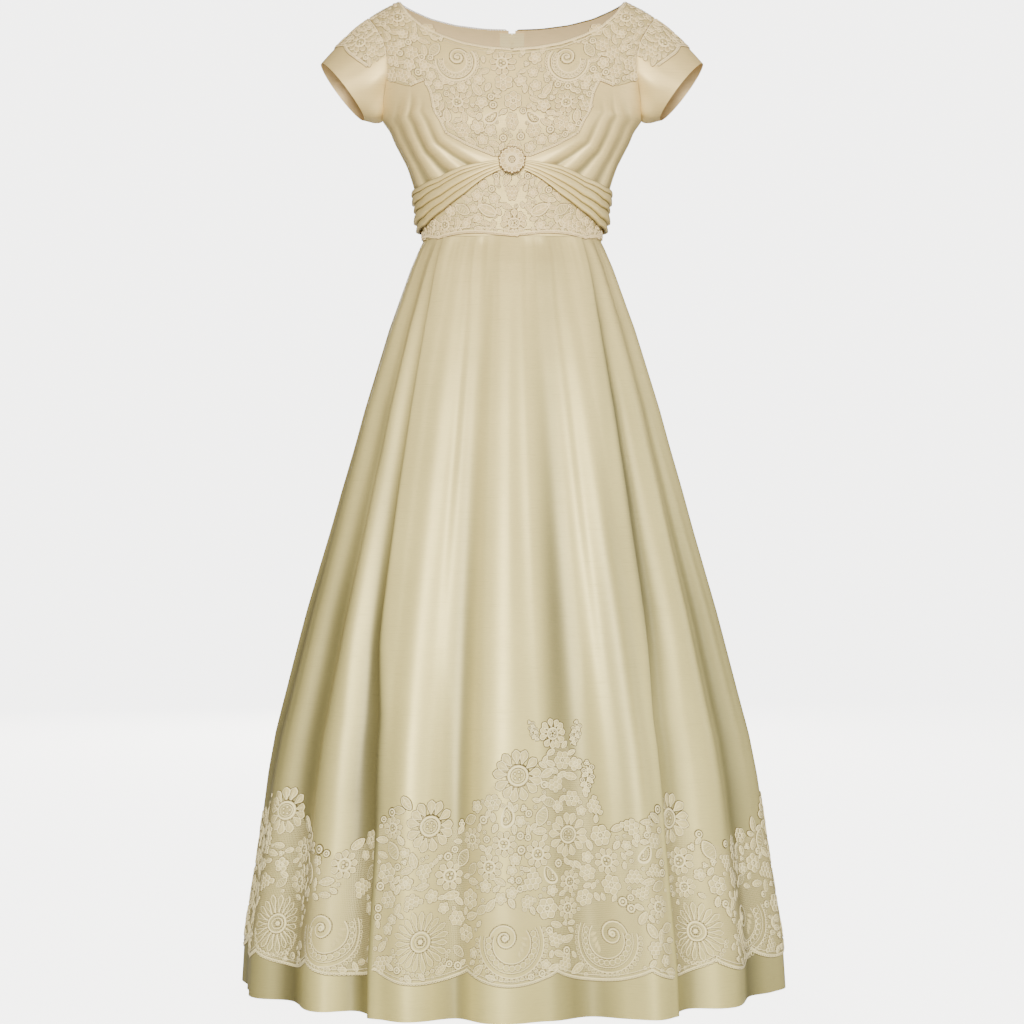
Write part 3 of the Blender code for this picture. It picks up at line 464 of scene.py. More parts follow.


# %% [markdown]
# ### Ivory silk satin
#
# The colour follows the height on the dress: warm ivory at the top, greener and darker towards the
# hem. That ramp is painted light and shade. In the troughs of the folds and gathers, under the
# sash's pleats, beside the skirt's pleat edges and on its side panels the colour also turns a darker
# olive, which is painted shade too. A warp-faced weave made of fine filament threads gives a soft,
# wide highlight, so the roughness is about 0.5 and there is no sheen. The slubs are weft threads
# 0.5 mm thick and a few centimetres long. Thread spacing itself is 0.1 mm, far too fine to show, so
# the weave is drawn about ten times coarser and very faint.

# %% Silk satin
# Dark olive that painted shade mixes the satin towards, in folds, beside pleats and on the side panels.
PAINTED_SHADE_COLOUR = "#6A6440"
FILAMENT_SHARE = 0.3
SLUB_LENGTH_MM = 45.0
SLUB_WIDTH_MM = 1.1
WEAVE_MM = 1.2


def silk_satin(name, stops, sheen, rough):
    """Slubbed silk satin whose colour follows the height on the dress, with painted shade low down and in the folds."""
    made, tree, shader = new_material(name)
    place = add_node(tree, "ShaderNodeTexCoord")
    split = add_node(tree, "ShaderNodeSeparateXYZ", {"Vector": place.outputs["Object"]})
    height = add_node(tree, "ShaderNodeMapRange", {
        "Value": split.outputs["Z"], "From Min": HEM_MM * MM, "From Max": 0.0,
    })
    # The height ramp paints light and shade: lighter at the top, darker and greener towards the hem.
    colour = add_node(tree, "ShaderNodeValToRGB", {"Fac": height.outputs["Result"]})
    set_ramp(colour, stops)
    weave = add_node(tree, "ShaderNodeUVMap", uv_map="weave")
    slub_space = add_node(tree, "ShaderNodeMapping", {
        "Vector": weave.outputs["UV"],
        "Scale": (1000 / SLUB_LENGTH_MM, 1000 / SLUB_WIDTH_MM, 1.0),
    })
    slub = add_node(tree, "ShaderNodeTexNoise", {"Vector": slub_space.outputs["Vector"], "Scale": 1.0, "Detail": 1.0})
    slub_lines = add_node(tree, "ShaderNodeValToRGB", {"Fac": slub.outputs["Fac"]})
    set_ramp(slub_lines, [(0.60, 0.0), (0.74, 1.0)])
    thread_space = add_node(tree, "ShaderNodeMapping", {
        "Vector": weave.outputs["UV"],
        "Scale": (1000 / (WEAVE_MM * 9), 1000 / WEAVE_MM, 1.0),
    })
    thread = add_node(tree, "ShaderNodeTexNoise", {
        "Vector": thread_space.outputs["Vector"], "Scale": 1.0, "Detail": 2.0,
    })
    cloud = add_node(tree, "ShaderNodeTexNoise", {"Vector": place.outputs["Object"], "Scale": 7.0, "Detail": 3.0})
    tone = add_node(tree, "ShaderNodeMapRange", {
        "Value": cloud.outputs["Fac"], "From Min": 0.3, "From Max": 0.7, "To Min": 0.955, "To Max": 1.045,
    })
    fine = add_node(tree, "ShaderNodeMapRange", {
        "Value": thread.outputs["Fac"], "From Min": 0.3, "From Max": 0.7, "To Min": 0.965, "To Max": 1.035,
    })
    both = add_node(tree, "ShaderNodeMath", {0: tone.outputs["Result"], 1: fine.outputs["Result"]}, operation="MULTIPLY")
    darker = add_node(tree, "ShaderNodeMath", {0: slub_lines.outputs["Color"], 1: -0.09}, operation="MULTIPLY")
    toned = add_node(tree, "ShaderNodeMath", {0: both.outputs["Value"], 1: darker.outputs["Value"]}, operation="ADD")
    # Painted shade: the colour is mixed towards dark olive by the shade value stored on the panel's points.
    painted_shade = add_node(tree, "ShaderNodeAttribute", attribute_name="painted_shade")
    deep = add_node(tree, "ShaderNodeMix", {0: painted_shade.outputs["Fac"], 6: colour.outputs["Color"]}, data_type="RGBA")
    deep.inputs[7].default_value = linear(PAINTED_SHADE_COLOUR)
    painted = add_node(tree, "ShaderNodeVectorMath", {0: deep.outputs[2]}, operation="SCALE")
    tree.links.new(toned.outputs["Value"], painted.inputs["Scale"])
    tree.links.new(painted.outputs["Vector"], shader.inputs["Base Color"])
    gloss = add_node(tree, "ShaderNodeMapRange", {
        "Value": cloud.outputs["Fac"], "To Min": rough - 0.05, "To Max": rough + 0.05,
    })
    tree.links.new(gloss.outputs["Result"], shader.inputs["Roughness"])
    relief = add_node(tree, "ShaderNodeMath", {0: slub_lines.outputs["Color"], 1: thread.outputs["Fac"]}, operation="ADD")
    bumps = add_node(tree, "ShaderNodeBump", {
        "Height": relief.outputs["Value"], "Strength": 0.16, "Distance": 0.0004,
    })
    tree.links.new(bumps.outputs["Normal"], shader.inputs["Normal"])
    shader.inputs["IOR"].default_value = 1.5
    shader.inputs["Metallic"].default_value = FILAMENT_SHARE
    shader.inputs["Sheen Weight"].default_value = sheen
    shader.inputs["Sheen Roughness"].default_value = 0.4
    shader.inputs["Sheen Tint"].default_value = linear("#FFF3D6")
    return made


# Stops run from the hem up to the neck; the darker, greener hem and the lighter top are painted light and shade.
SATIN = silk_satin("ivory slubbed silk satin", [
    (0.0, "#C6BB76"), (0.30, "#D2C57F"), (0.60, "#D9C985"), (0.78, "#DCC786"), (1.0, "#DDC181"),
], 0.0, 0.52)
# The inside also turns darker towards the hem with painted shade.
LINING = silk_satin("inside of the silk satin", [
    (0.0, "#9C8B52"), (0.60, "#B8A56C"), (0.88, "#D8BC86"), (1.0, "#E6CD9C"),
], 0.0, 0.55)
print("satin:", SATIN.name, "and", LINING.name)

# %% [markdown]
# ### Corded cotton lace
#
# Corded lace has three parts: a fine net ground, padded motifs and thick cords laid round them.
# Cotton is matte and scatters light, so its roughness is high. Every motif here is a real raised
# mesh. It carries a value called crown, which is 0 at the foot of a cord and 1 on its top, and the
# colour follows it: the foot is painted dark for the shadow line that its cord casts, and the top
# is painted lighter as a highlight. The net's cells are 1 mm wide on the real lace. They are drawn
# at 2.4 mm, because finer ones would not show.

# %% Lace materials
NET_CELL_MM = 2.4
THREAD_SHARE = 0.09


def cotton_cord(name, foot, middle, crown):
    """Matte cotton thread, with painted shadow at the foot of each cord and a painted highlight on its top."""
    made, tree, shader = new_material(name)
    raised = add_node(tree, "ShaderNodeAttribute", attribute_name="crown")
    # Painted light and shade: dark at a cord's foot where its shadow falls, light on its top.
    colour = add_node(tree, "ShaderNodeValToRGB", {"Fac": raised.outputs["Fac"]})
    set_ramp(colour, [(0.2, foot), (0.42, middle), (0.85, crown)])
    place = add_node(tree, "ShaderNodeTexCoord")
    thread = add_node(tree, "ShaderNodeTexNoise", {"Vector": place.outputs["Object"], "Scale": 900.0, "Detail": 2.0})
    tone = add_node(tree, "ShaderNodeMapRange", {"Value": thread.outputs["Fac"], "To Min": 0.86, "To Max": 1.12})
    painted = add_node(tree, "ShaderNodeVectorMath", {0: colour.outputs["Color"]}, operation="SCALE")
    tree.links.new(tone.outputs["Result"], painted.inputs["Scale"])
    tree.links.new(painted.outputs["Vector"], shader.inputs["Base Color"])
    bumps = add_node(tree, "ShaderNodeBump", {"Height": thread.outputs["Fac"], "Strength": 0.3, "Distance": 0.0004})
    tree.links.new(bumps.outputs["Normal"], shader.inputs["Normal"])
    shader.inputs["Roughness"].default_value = 0.78
    shader.inputs["Sheen Weight"].default_value = 0.2
    shader.inputs["Sheen Tint"].default_value = linear("#FFF6E2")
    return made


def cotton_net(name, thread_colour, cell_mm):
    """Fine cotton net: threads between the cells, and nothing in the cells."""
    made, tree, shader = new_material(name)
    weave = add_node(tree, "ShaderNodeUVMap", uv_map="weave")
    cells = add_node(tree, "ShaderNodeTexVoronoi", {
        "Vector": weave.outputs["UV"], "Scale": 1000 / cell_mm, "Randomness": 0.35,
    }, feature="DISTANCE_TO_EDGE", voronoi_dimensions="2D")
    gap = add_node(tree, "ShaderNodeMath", {0: cells.outputs["Distance"], 1: THREAD_SHARE}, operation="LESS_THAN")
    tree.links.new(gap.outputs["Value"], shader.inputs["Alpha"])
    shader.inputs["Base Color"].default_value = linear(thread_colour)
    shader.inputs["Roughness"].default_value = 0.8
    return made


# Colours for the foot, the middle and the top: the dark foot is painted shadow, the light top a painted highlight.
CORD = cotton_cord("cream cotton lace cord", "#4A3E1A", "#C4B67A", "#E2D6A0")
CORD_TOP = cotton_cord("cream cotton lace cord, bodice", "#5A431D", "#CCB277", "#E8D19C")
NET = cotton_net("cream cotton net", "#C6B983", NET_CELL_MM)
print("net cell:", NET_CELL_MM, "mm")

# %% [markdown]
# ## The satin panels
#
# Each panel is a grid of angles and heights between its cut edges. The edges come from the seam
# tables, so neighbours meet along the same line and stay a hair apart, as two layers of cloth at a
# seam do. Rows run up the body and columns run round it.

# %% Helpers for edges
def angle_at(x, z):
    """The angle on the front at which the form is a distance x from the centre."""
    half_width = table(FORM, z, 1)
    share = np.clip(np.abs(x) / half_width, 0, 1)
    return np.sign(x) * np.degrees(np.arcsin(share ** (SQUARENESS / 2)))


def between(first, last, shares):
    """Curves between two curves, one row for each share."""
    return first[None] + (last - first)[None] * np.asarray(shares)[:, None, None]


def along(curve, count):
    """A curve of two columns taken at equal steps of its length."""
    steps = np.hypot(*np.diff(curve, axis=0).T)
    length = np.concatenate([[0], np.cumsum(steps)])
    at = np.linspace(0, length[-1], count)
    return np.stack([np.interp(at, length, curve[:, i]) for i in (0, 1)], 1)


def in_angles(curve):
    """A curve of distances and heights as angles and heights."""
    return np.stack([angle_at(curve[:, 0], curve[:, 1]), curve[:, 1]], 1)


def neck_and_shoulder(neck):
    """Neck edge and shoulder seam, from the centre to the shoulder tip, as angles and heights."""
    tip = (SHOULDER_TIP_X_MM, float(shoulder_line(SHOULDER_TIP_X_MM)))
    seam = in_angles(np.array([neck[-1], tip]))
    return np.concatenate([along(in_angles(neck), NECK_COLUMNS), along(seam, SEAM_COLUMNS)[1:]])


def to_armhole(grid):
    """Rows whose last column is moved onto the armhole edge, with the others following it."""
    shares = np.linspace(0, 1, grid.shape[1])
    moved = table(ARMHOLE, grid[:, -1, 1], 1) - grid[:, -1, 0]
    grid = grid.copy()
    grid[..., 0] += moved[:, None] * shares ** 1.5
    return grid


SHOULDER_TIP_X_MM = 200.0
YOKE_DIP = (142.0, -130.0)
NECK_COLUMNS = 29
SEAM_COLUMNS = 13
YOKE_ROWS = 1 - (1 - np.linspace(0, 1, 30)) ** 1.5

# %% [markdown]
# ### Yoke and side fronts
#
# The yoke is one piece from shoulder to shoulder with a deep V. Below it the two side fronts are
# gathered into the seam under the bust. A gather is a narrow soft ridge that is highest at the
# sash and dies out under the yoke.

# %% Yoke
def yoke_grid():
    """Rows from the V edge up to the neck and shoulders, columns from armhole to armhole."""
    corner = (float(table(ARMHOLE, YOKE_MM, 1)), YOKE_MM)
    dip = in_angles(np.array([V_EDGE[-1], YOKE_DIP]))
    lower = np.concatenate([along(in_angles(V_EDGE), NECK_COLUMNS),
                            along(np.concatenate([dip, [corner]]), SEAM_COLUMNS)[1:]])
    grid = to_armhole(between(lower, neck_and_shoulder(NECK_FRONT), YOKE_ROWS))
    return np.stack([np.concatenate([row[:0:-1] * (-1, 1), row]) for row in grid])


def satin_panel(name, angles, heights, extra=0.0, painted_shade=None):
    """A panel of satin on the form, CLOTH_MM thick, with painted shade if given."""
    points, normals = on_form(angles, heights, extra)
    return cloth(name, points, points - CLOTH_MM * normals, (SATIN, LINING), painted_shade=painted_shade)


yoke = yoke_grid()
satin_panel("satin_yoke", yoke[..., 0], yoke[..., 1])

# %% Side fronts
# Columns: share across from the V edge, depth in mm, width as a share, height as a share where it
# has faded.
GATHERS = np.array([
    (0.07, 2.0, 0.05, 0.55), (0.14, -2.6, 0.05, 0.7), (0.22, 3.2, 0.07, 0.8), (0.32, -3.0, 0.07, 0.85),
    (0.42, 3.0, 0.10, 0.95), (0.56, -2.2, 0.10, 0.8), (0.70, 1.8, 0.12, 0.75), (0.86, -1.2, 0.09, 0.6),
], float)
FRONT_SEAM_ROWS = 40
FRONT_SEAM_COLUMNS = 76


def side_front_grid(side):
    """Rows from the seam under the bust up to the yoke, columns from the V edge to the side."""
    rows = np.linspace(0, 1, FRONT_SEAM_ROWS)
    v_edge = along(in_angles(V_EDGE + (0.5, -0.5)), FRONT_SEAM_ROWS)
    armhole = ARMHOLE[ARMHOLE[:, 0] <= YOKE_MM][:, ::-1]
    corner = (float(table(ARMHOLE, YOKE_MM, 1)), YOKE_MM - 0.5)
    outside = np.concatenate([[(90.0, float(table(UNDERBUST, 90, 1)) + 0.3)], armhole, [corner]])
    across = np.linspace(0, 1, FRONT_SEAM_COLUMNS)
    grid = between(v_edge, along(outside, FRONT_SEAM_ROWS), across).transpose(1, 0, 2)
    seam_angles = v_edge[0, 0] + (90.0 - v_edge[0, 0]) * across
    seam = np.stack([seam_angles, table(UNDERBUST, seam_angles, 1) + 0.3], 1)
    seam[0] = np.maximum(v_edge[0], seam[0])
    dip = in_angles(np.array([V_EDGE[-1], YOKE_DIP]))
    top = along(np.concatenate([dip, [corner]]), FRONT_SEAM_COLUMNS)
    top[:, 1] -= 0.5
    grid = grid + (seam - grid[0])[None] * (1 - rows)[:, None, None]
    grid = grid + (top - grid[-1])[None] * rows[:, None, None]
    if side < 0:
        return grid[:, ::-1] * (-1, 1), across[::-1], rows
    return grid, across, rows


def gathered(across, rows):
    """The lift of the side front's gathers, strongest at the sash and gone under the yoke."""
    lift = np.zeros((len(rows), len(across)))
    for middle, depth, width, end in GATHERS:
        fade = np.clip(1.15 - rows / end, 0, 1) ** 0.8 * np.clip((1.0 - rows) / 0.15, 0, 1)
        lift = lift + depth * fade[:, None] * bump((across - middle) / width)[None]
    return lift


for side, word in SIDES:
    grid, across, rows = side_front_grid(side)
    lift = gathered(across, rows)
    # The troughs of the gathers get painted shade.
    satin_panel("satin_side_front_" + word, grid[..., 0], grid[..., 1], lift, np.clip(-lift / 3.5, 0, 0.7))

# %% [markdown]
# ### Midriff and backs

# %% Midriff
MIDRIFF_COLUMNS = 121
midriff_angles = np.linspace(-90, 90, MIDRIFF_COLUMNS)
midriff_top = table(UNDERBUST, np.abs(midriff_angles), 1) - 0.3
midriff_shares = np.linspace(0, 1, 16)[:, None]
midriff_heights = WAIST_MM + 0.2 + (midriff_top - WAIST_MM - 0.2) * midriff_shares
satin_panel("satin_midriff", np.tile(midriff_angles, (16, 1)), midriff_heights)

# %% Backs
# Columns: height, half the opening at the centre back, where the zip lies.
ZIP_OPENING = np.array([
    (-600, 0.2), (-530, 0.2), (-520, 1.0), (-90, 1.0), (-60, 4.4), (0, 4.6),
], float)
JUST_BEHIND = 89.9999


def back_grid(side):
    """Rows from the waist to the neck and shoulder, columns from the side to the centre back."""
    top = neck_and_shoulder(NECK_BACK)
    shares = np.linspace(0, 1, len(top))
    rows = []
    for z in np.linspace(WAIST_MM + 0.2, YOKE_MM, 40):
        inner = float(angle_at(np.array(table(ZIP_OPENING, z, 1)), z))
        outer = JUST_BEHIND if z <= UNDERARM_MM else float(table(ARMHOLE, z, 1))
        rows.append(np.stack([inner + (outer - inner) * shares, np.full(len(top), z)], 1))
    grid = np.concatenate([np.stack(rows), between(rows[-1], top, YOKE_ROWS[1:])])
    grid[:, 0, 0] = angle_at(table(ZIP_OPENING, grid[:, 0, 1], 1), grid[:, 0, 1])
    upper = grid[:, -1, 1] > UNDERARM_MM
    grid[upper] = to_armhole(grid[upper])
    grid[..., 0] = BACK_DEG - grid[..., 0]
    return grid[:, ::-1] if side > 0 else grid * (-1, 1)


for side, word in SIDES:
    grid = back_grid(side)
    satin_panel("satin_back_" + word, grid[..., 0], grid[..., 1])

# %% [markdown]
# ### Sleeves
#
# A short set-in sleeve is a tube between two rings: the armhole, which follows the body, and the
# cuff, which stands away from the arm. The cloth runs straight from one to the other and puffs a
# little between them. Soft creases start at the underarm, where there is too much cloth.

# %% Sleeves
ARMHOLE_STEPS = np.interp(
    np.linspace(0, 10, 31), np.arange(11), (-22, -34, -48, -64, -80, -98, -117, -134, -150, -160, -168),
)
CUFF_TOP = (268, 2, -86)
CUFF_BOTTOM = (207, 2, -165)
CUFF_FORWARD = (-6.5, -51, 0)
SLEEVE_START_MM = 0.8
SEAM_ALLOWANCE_MM = 5.0
SLEEVE_PUFF_MM = 3.5
SLEEVE_ROWS = np.linspace(0, 1, 26)
# Columns: turn round the sleeve in degrees from its top, depth in mm, width in degrees, share
# along the sleeve where it is deepest.
SLEEVE_CREASES = np.array([
    (128, -2.6, 15, 0.1), (150, 2.2, 13, 0.25), (106, 1.6, 12, 0.35), (-128, -2.4, 15, 0.15),
    (-152, 2.0, 14, 0.3), (-104, 1.5, 12, 0.3), (76, -1.2, 14, 0.55), (-80, -1.3, 14, 0.5),
    (175, -1.6, 12, 0.6),
], float)


def armhole_ring(side):
    """The edge of the armhole, from the shoulder down the front and up the back."""
    heights = ARMHOLE_STEPS.copy()
    heights[0] = shoulder_line(SHOULDER_TIP_X_MM)
    angles = table(ARMHOLE, heights, 1)
    front = form_point(side * angles, heights)
    back = form_point(side * (BACK_DEG - angles), heights)
    front[0, 1] = 0
    front[-1, 1] = 0
    return np.concatenate([front, back[-2:0:-1]]), len(front)


def sleeve_grids(side):
    """Points of a sleeve, rows from the armhole to the cuff, the ways out, and the turns."""
    ring, half = armhole_ring(side)
    lengths = np.linalg.norm(np.roll(ring, -1, 0) - ring, axis=1)
    run = np.concatenate([[0], np.cumsum(lengths)])
    front_share = run[:half] / run[half - 1]
    back_share = (run[half:len(ring)] - run[half - 1]) / (run[-1] - run[half - 1])
    turn = math.pi * np.concatenate([front_share, 1 + back_share])
    top = np.array(CUFF_TOP) * (side, 1, 1)
    bottom = np.array(CUFF_BOTTOM) * (side, 1, 1)
    middle = (top + bottom) / 2
    forward = np.array(CUFF_FORWARD) * (side, 1, 1)
    cuff = middle + np.cos(turn)[:, None] * (top - middle) + np.sin(turn)[:, None] * forward
    toward = cuff - ring
    toward = toward / np.linalg.norm(toward, axis=1, keepdims=True)
    start = ring + toward * SLEEVE_START_MM
    centre = ring.mean(axis=0)
    points, ways = [], []
    for share in SLEEVE_ROWS:
        row = start + (cuff - start) * share
        away = row - (centre + (middle - centre) * share)
        away = away / np.linalg.norm(away, axis=1, keepdims=True)
        puff = SLEEVE_PUFF_MM * math.sin(math.pi * share ** 0.8)
        for at, depth, width, place in SLEEVE_CREASES:
            near = bump(turn_between(np.degrees(turn), at) / width) * bump((share - place) / 0.7)
            puff = puff + depth * near
        points.append(row + away * np.reshape(puff * np.ones(len(row)), (-1, 1)))
        ways.append(away)
    return np.stack(points), np.stack(ways), np.degrees(turn)


def facing_out(outer, inner):
    """The same grids with their columns turned round where the faces would point inwards."""
    across = outer[0, 1] - outer[0, 0]
    up = outer[1, 0] - outer[0, 0]
    if np.dot(np.cross(across, up), outer[0, 0] - inner[0, 0]) < 0:
        return outer[:, ::-1], inner[:, ::-1]
    return outer, inner


SLEEVES = {}
for side, word in SIDES:
    points, ways, turns = sleeve_grids(side)
    SLEEVES[side] = (points, ways, turns)
    ways_along = points[1:] - points[:-1]
    ways_along = ways_along / np.linalg.norm(ways_along, axis=2, keepdims=True)
    head = points[0] - SEAM_ALLOWANCE_MM * ways_along[0] - (CLOTH_MM + 0.5) * ways[0]
    points, ways = np.concatenate([[head], points]), np.concatenate([ways[:1], ways])
    cloth("satin_sleeve_" + word, *facing_out(points, points - CLOTH_MM * ways), (SATIN, LINING), closed=True)

# %% [markdown]
# ### The sash
#
# Each half of the sash is laid in pleats that overlap downwards and run together at the rosette.
# In section a pleat is a slope that ends in a rolled edge with a step under it, and the step is
# darkened with painted shade. The pleats aren't even: each one gets its own share of the height,
# and that share drifts along the sash.

# %% Sash
SASH_START_DEG = 5.0
SASH_END_DEG = 178.8
SASH_LIFT_MM = 3.0
GATHER_ROOM_MM = 4.6
SASH_FOLD_SHARE = 0.26
PLEAT_EDGES = (0.0, 0.22, 0.47, 0.70, 0.87, 1.0)
PLEAT_DRIFT = (0.0, 0.025, -0.02, 0.03, -0.02, 0.0)
PLEAT_SECTION = ((0.0, 0.0), (0.03, 0.75), (0.09, 1.0), (0.2, 0.98), (0.4, 0.85), (0.6, 0.66), (0.8, 0.4), (0.97, 0.05))
SASH_COLUMNS = 120


def sash_section(angles):
    """Shares up the sash and lifts, with a row for each point of the section."""
    drift = np.sin(np.radians(angles * 3.1))
    shares, lifts = [], []
    for k in range(len(PLEAT_EDGES) - 1):
        low = PLEAT_EDGES[k] + PLEAT_DRIFT[k] * drift
        high = PLEAT_EDGES[k + 1] + PLEAT_DRIFT[k + 1] * drift
        for within, lift in PLEAT_SECTION:
            shares.append(low + (high - low) * within)
            lifts.append(lift * (high - low) * len(PLEAT_EDGES) + 0 * angles)
    shares.append(np.ones_like(angles))
    lifts.append(np.zeros_like(angles))
    return np.stack(shares), np.stack(lifts)


for side, word in SIDES:
    angles = SASH_START_DEG + (SASH_END_DEG - SASH_START_DEG) * np.linspace(0, 1, SASH_COLUMNS) ** 1.15
    upper, lower = table(SASH, angles, 1), table(SASH, angles, 2)
    shares, lifts = sash_section(angles)
    heights = lower + (upper - lower) * shares
    fold = SASH_FOLD_SHARE * (upper - lower) / 4
    lift = SASH_LIFT_MM + GATHER_ROOM_MM * np.clip(1.6 - angles / 70, 0, 1) + fold * lifts
    grid = np.tile(angles, (len(shares), 1))
    # Painted shade, strongest in the low step under each pleat's rolled edge.
    painted_shade = np.clip(0.85 - 2.2 * lifts, 0, 0.85)
    if side < 0:
        grid, heights, lift, painted_shade = -grid[:, ::-1], heights[:, ::-1], lift[:, ::-1], painted_shade[:, ::-1]
    satin_panel("satin_sash_" + word, grid, heights, lift, painted_shade)

# %% [markdown]
# ### The skirt
#
# The skirt front lies on top of the two side panels. Along each side its edge is folded under, so
# the front rises towards a rolled fold and a hollow follows it, darkened with painted shade. The fold
# is built as a half circle of points with a turned-under strip, row by row, because a plain grid
# would have no room for the cloth that turns back.

# %% Skirt front
SKIRT_ROWS = np.concatenate([np.linspace(-337.3, -420, 17), np.linspace(-430, HEM_MM, 66)])
PLEAT_REACH_DEG = 18.0
PLEAT_LEVEL_DEG = 5.0
UNDERLAP_DEG = 9.0
ROLL_TURNS = np.linspace(0, 180, 9)
FRONT_COLUMNS = 180


def pleat_edge(z, side):
    """The angle of the folded edge of the skirt front on one side."""
    return table(PLEAT_EDGE, z, 2 if side > 0 else 1)


def pleat_lift(angle, z):
    """The lift of the skirt front as it rises towards its folded edges."""
    edge = np.where(angle > 0, pleat_edge(z, 1), pleat_edge(z, -1))
    reach = PLEAT_REACH_DEG - PLEAT_LEVEL_DEG
    share = np.clip((np.abs(angle) - (edge - PLEAT_REACH_DEG)) / reach, 0, 1)
    return table(PLEAT_LIFT, z, 1) * share * share * (3 - 2 * share)


EDGES_MEET_MM = 0.19


def back_edge(z):
    """The angle of the centre back edge, which leaves room for the zip."""
    blend = np.clip((WAIST_MM + 20 - z) / 120.0, 0, 1)
    squareness = SQUARENESS + (SKIRT_SQUARENESS - SQUARENESS) * blend
    share = (table(ZIP_OPENING, z, 1) - EDGES_MEET_MM) / table(FORM, z, 1)
    return BACK_DEG - np.degrees(np.arcsin(share ** (squareness / 2)))


def front_row(z):
    """Outer and inner points of the skirt front at one height, with both turned-under strips."""
    parts = []
    top = float(table(PLEAT_LIFT, z, 1))
    roll = (top - float(table(PLEAT_LIFT, z, 3))) / 2
    strip = float(table(PLEAT_LIFT, z, 2))
    radius = float(table(FORM, z, 1))
    turns = np.radians(ROLL_TURNS)
    across = np.concatenate([roll * (np.sin(turns) - 1), [-roll - strip / 2, -roll - strip]])
    lift = np.concatenate([top - roll + roll * np.cos(turns), [top - 2 * roll] * 2])
    ways = np.concatenate([turns, [math.pi] * 2])
    for side in (-1, 1):
        edge = float(pleat_edge(z, side))
        angles = edge + np.degrees(across / radius)
        inner = edge + np.degrees((across - CLOTH_MM * np.sin(ways)) / radius)
        parts.append((angles, inner))
    inner_lift = lift - CLOTH_MM * np.cos(ways)
    left, right = parts
    flat = np.linspace(-left[0][0], right[0][0], FRONT_COLUMNS)[1:-1]
    lifts = pleat_lift(flat, z)
    outer = np.concatenate([-left[0][::-1], flat, right[0]])
    inner = np.concatenate([-left[1][::-1], flat, right[1]])
    return (form_point(outer, np.full(len(outer), z), np.concatenate([lift[::-1], lifts, lift])),
            form_point(inner, np.full(len(inner), z),
                       np.concatenate([inner_lift[::-1], lifts - CLOTH_MM, inner_lift])),
            painted_shade_share(outer, np.full(len(outer), z)))


def painted_shade_share(angle, z):
    """Painted shade at a place of the skirt: 0 on ridges, HOLLOW_MOST in the deepest troughs, more on the sides and by
    the pleats.
    """
    away = np.abs(turn_between(angle, 0))
    # Painted shade on the side panels, weaker near the waist.
    side = np.where(turn_between(angle, 0) < 0, SIDE_SHADE[0], SIDE_SHADE[1])
    lower = np.clip((-z - 420) / 420, 0.25, 1)
    side = side * lower * np.clip((away - 38) / 22, 0, 1) * np.clip((120 - away) / 25, 0, 1)
    # Painted shade in the troughs of the folds.
    folds = HOLLOW_MOST * lower * np.clip(-flute_depth(angle, z) / HOLLOW_FULL_MM, 0, 1)
    # Painted shadow beside each folded edge, and a thin painted dark line right at the edge.
    edge = np.where(turn_between(angle, 0) < 0, pleat_edge(z, -1), pleat_edge(z, 1))
    lefts = turn_between(angle, 0) < 0
    past = (away - edge) / np.where(lefts, table(FOLD_SHADE, z, 3), table(FOLD_SHADE, z, 4))
    past = np.where(past < 0, past / ROLL_FADE, past)
    wide = np.where(turn_between(angle, 0) < 0, table(FOLD_SHADE, z, 1), table(FOLD_SHADE, z, 2))
    narrow = FOLD_LINE * np.clip((z + 1250) / 300, 0.2, 1)
    beside = np.where(away < 75, wide * np.exp(-past ** 2) + narrow * np.exp(-(past * 5) ** 2), 0)
    # Painted shadows along the soft troughs of SOFT_SHADOWS.
    x = form_point(angle, z)[..., 0]
    for x_top, z_top, x_foot, z_foot, width, depth in SOFT_SHADOWS:
        share = (z - z_top) / (z_foot - z_top)
        near = np.exp(-((x - x_top - (x_foot - x_top) * share) / width) ** 2)
        beside = beside + depth * near * bump(share - 0.5) ** 0.5 * (away < 90)
    return np.clip(folds + side + beside, 0, 0.95)


# Painted shade beside the folded edges. Columns: height, how strong the painted shade beside the
# left and the right folded edge is, and how wide in degrees it is on the left and on the right.
FOLD_SHADE = np.array([
    (-337, 0.15, 0.30, 3.5, 4.0), (-450, 0.20, 0.60, 4.0, 5.0), (-560, 0.40, 0.95, 4.0, 5.5),
    (-700, 0.60, 1.00, 4.0, 6.0), (-837, 0.45, 0.80, 4.5, 5.5), (-977, 0.85, 0.40, 7.0, 4.0),
    (-1090, 0.95, 0.32, 8.5, 4.0), (-1220, 0.60, 0.30, 7.0, 4.0), (-1367, 0.40, 0.25, 5.0, 4.0),
])
ROLL_FADE = 0.32
# Painted shadows along soft troughs of the skirt. Columns: x and height of the top, x and height
# of the foot, half width in mm, depth of tone.
SOFT_SHADOWS = np.array([
    (49, -480, 56, -1330, 17, 0.42), (134, -840, 154, -1260, 22, 0.50), (-60, -640, -66, -1230, 12, 0.22),
    (-172, -620, -176, -1130, 14, 0.25), (118, -420, 122, -900, 12, 0.18),
])
# Strength of the thin painted dark line along each folded edge.
FOLD_LINE = 0.6
# Most painted shade in a fold trough, and the trough depth in mm that gets all of it.
HOLLOW_MOST = 0.6
HOLLOW_FULL_MM = 14.0
# Painted shade on the left and the right side panels.
SIDE_SHADE = (0.5, 0.34)
front_rows = [front_row(z) for z in SKIRT_ROWS[::-1]]
cloth("satin_skirt_front", np.stack([row[0] for row in front_rows]), np.stack([row[1] for row in front_rows]),
      (SATIN, LINING), painted_shade=np.stack([row[2] for row in front_rows]))

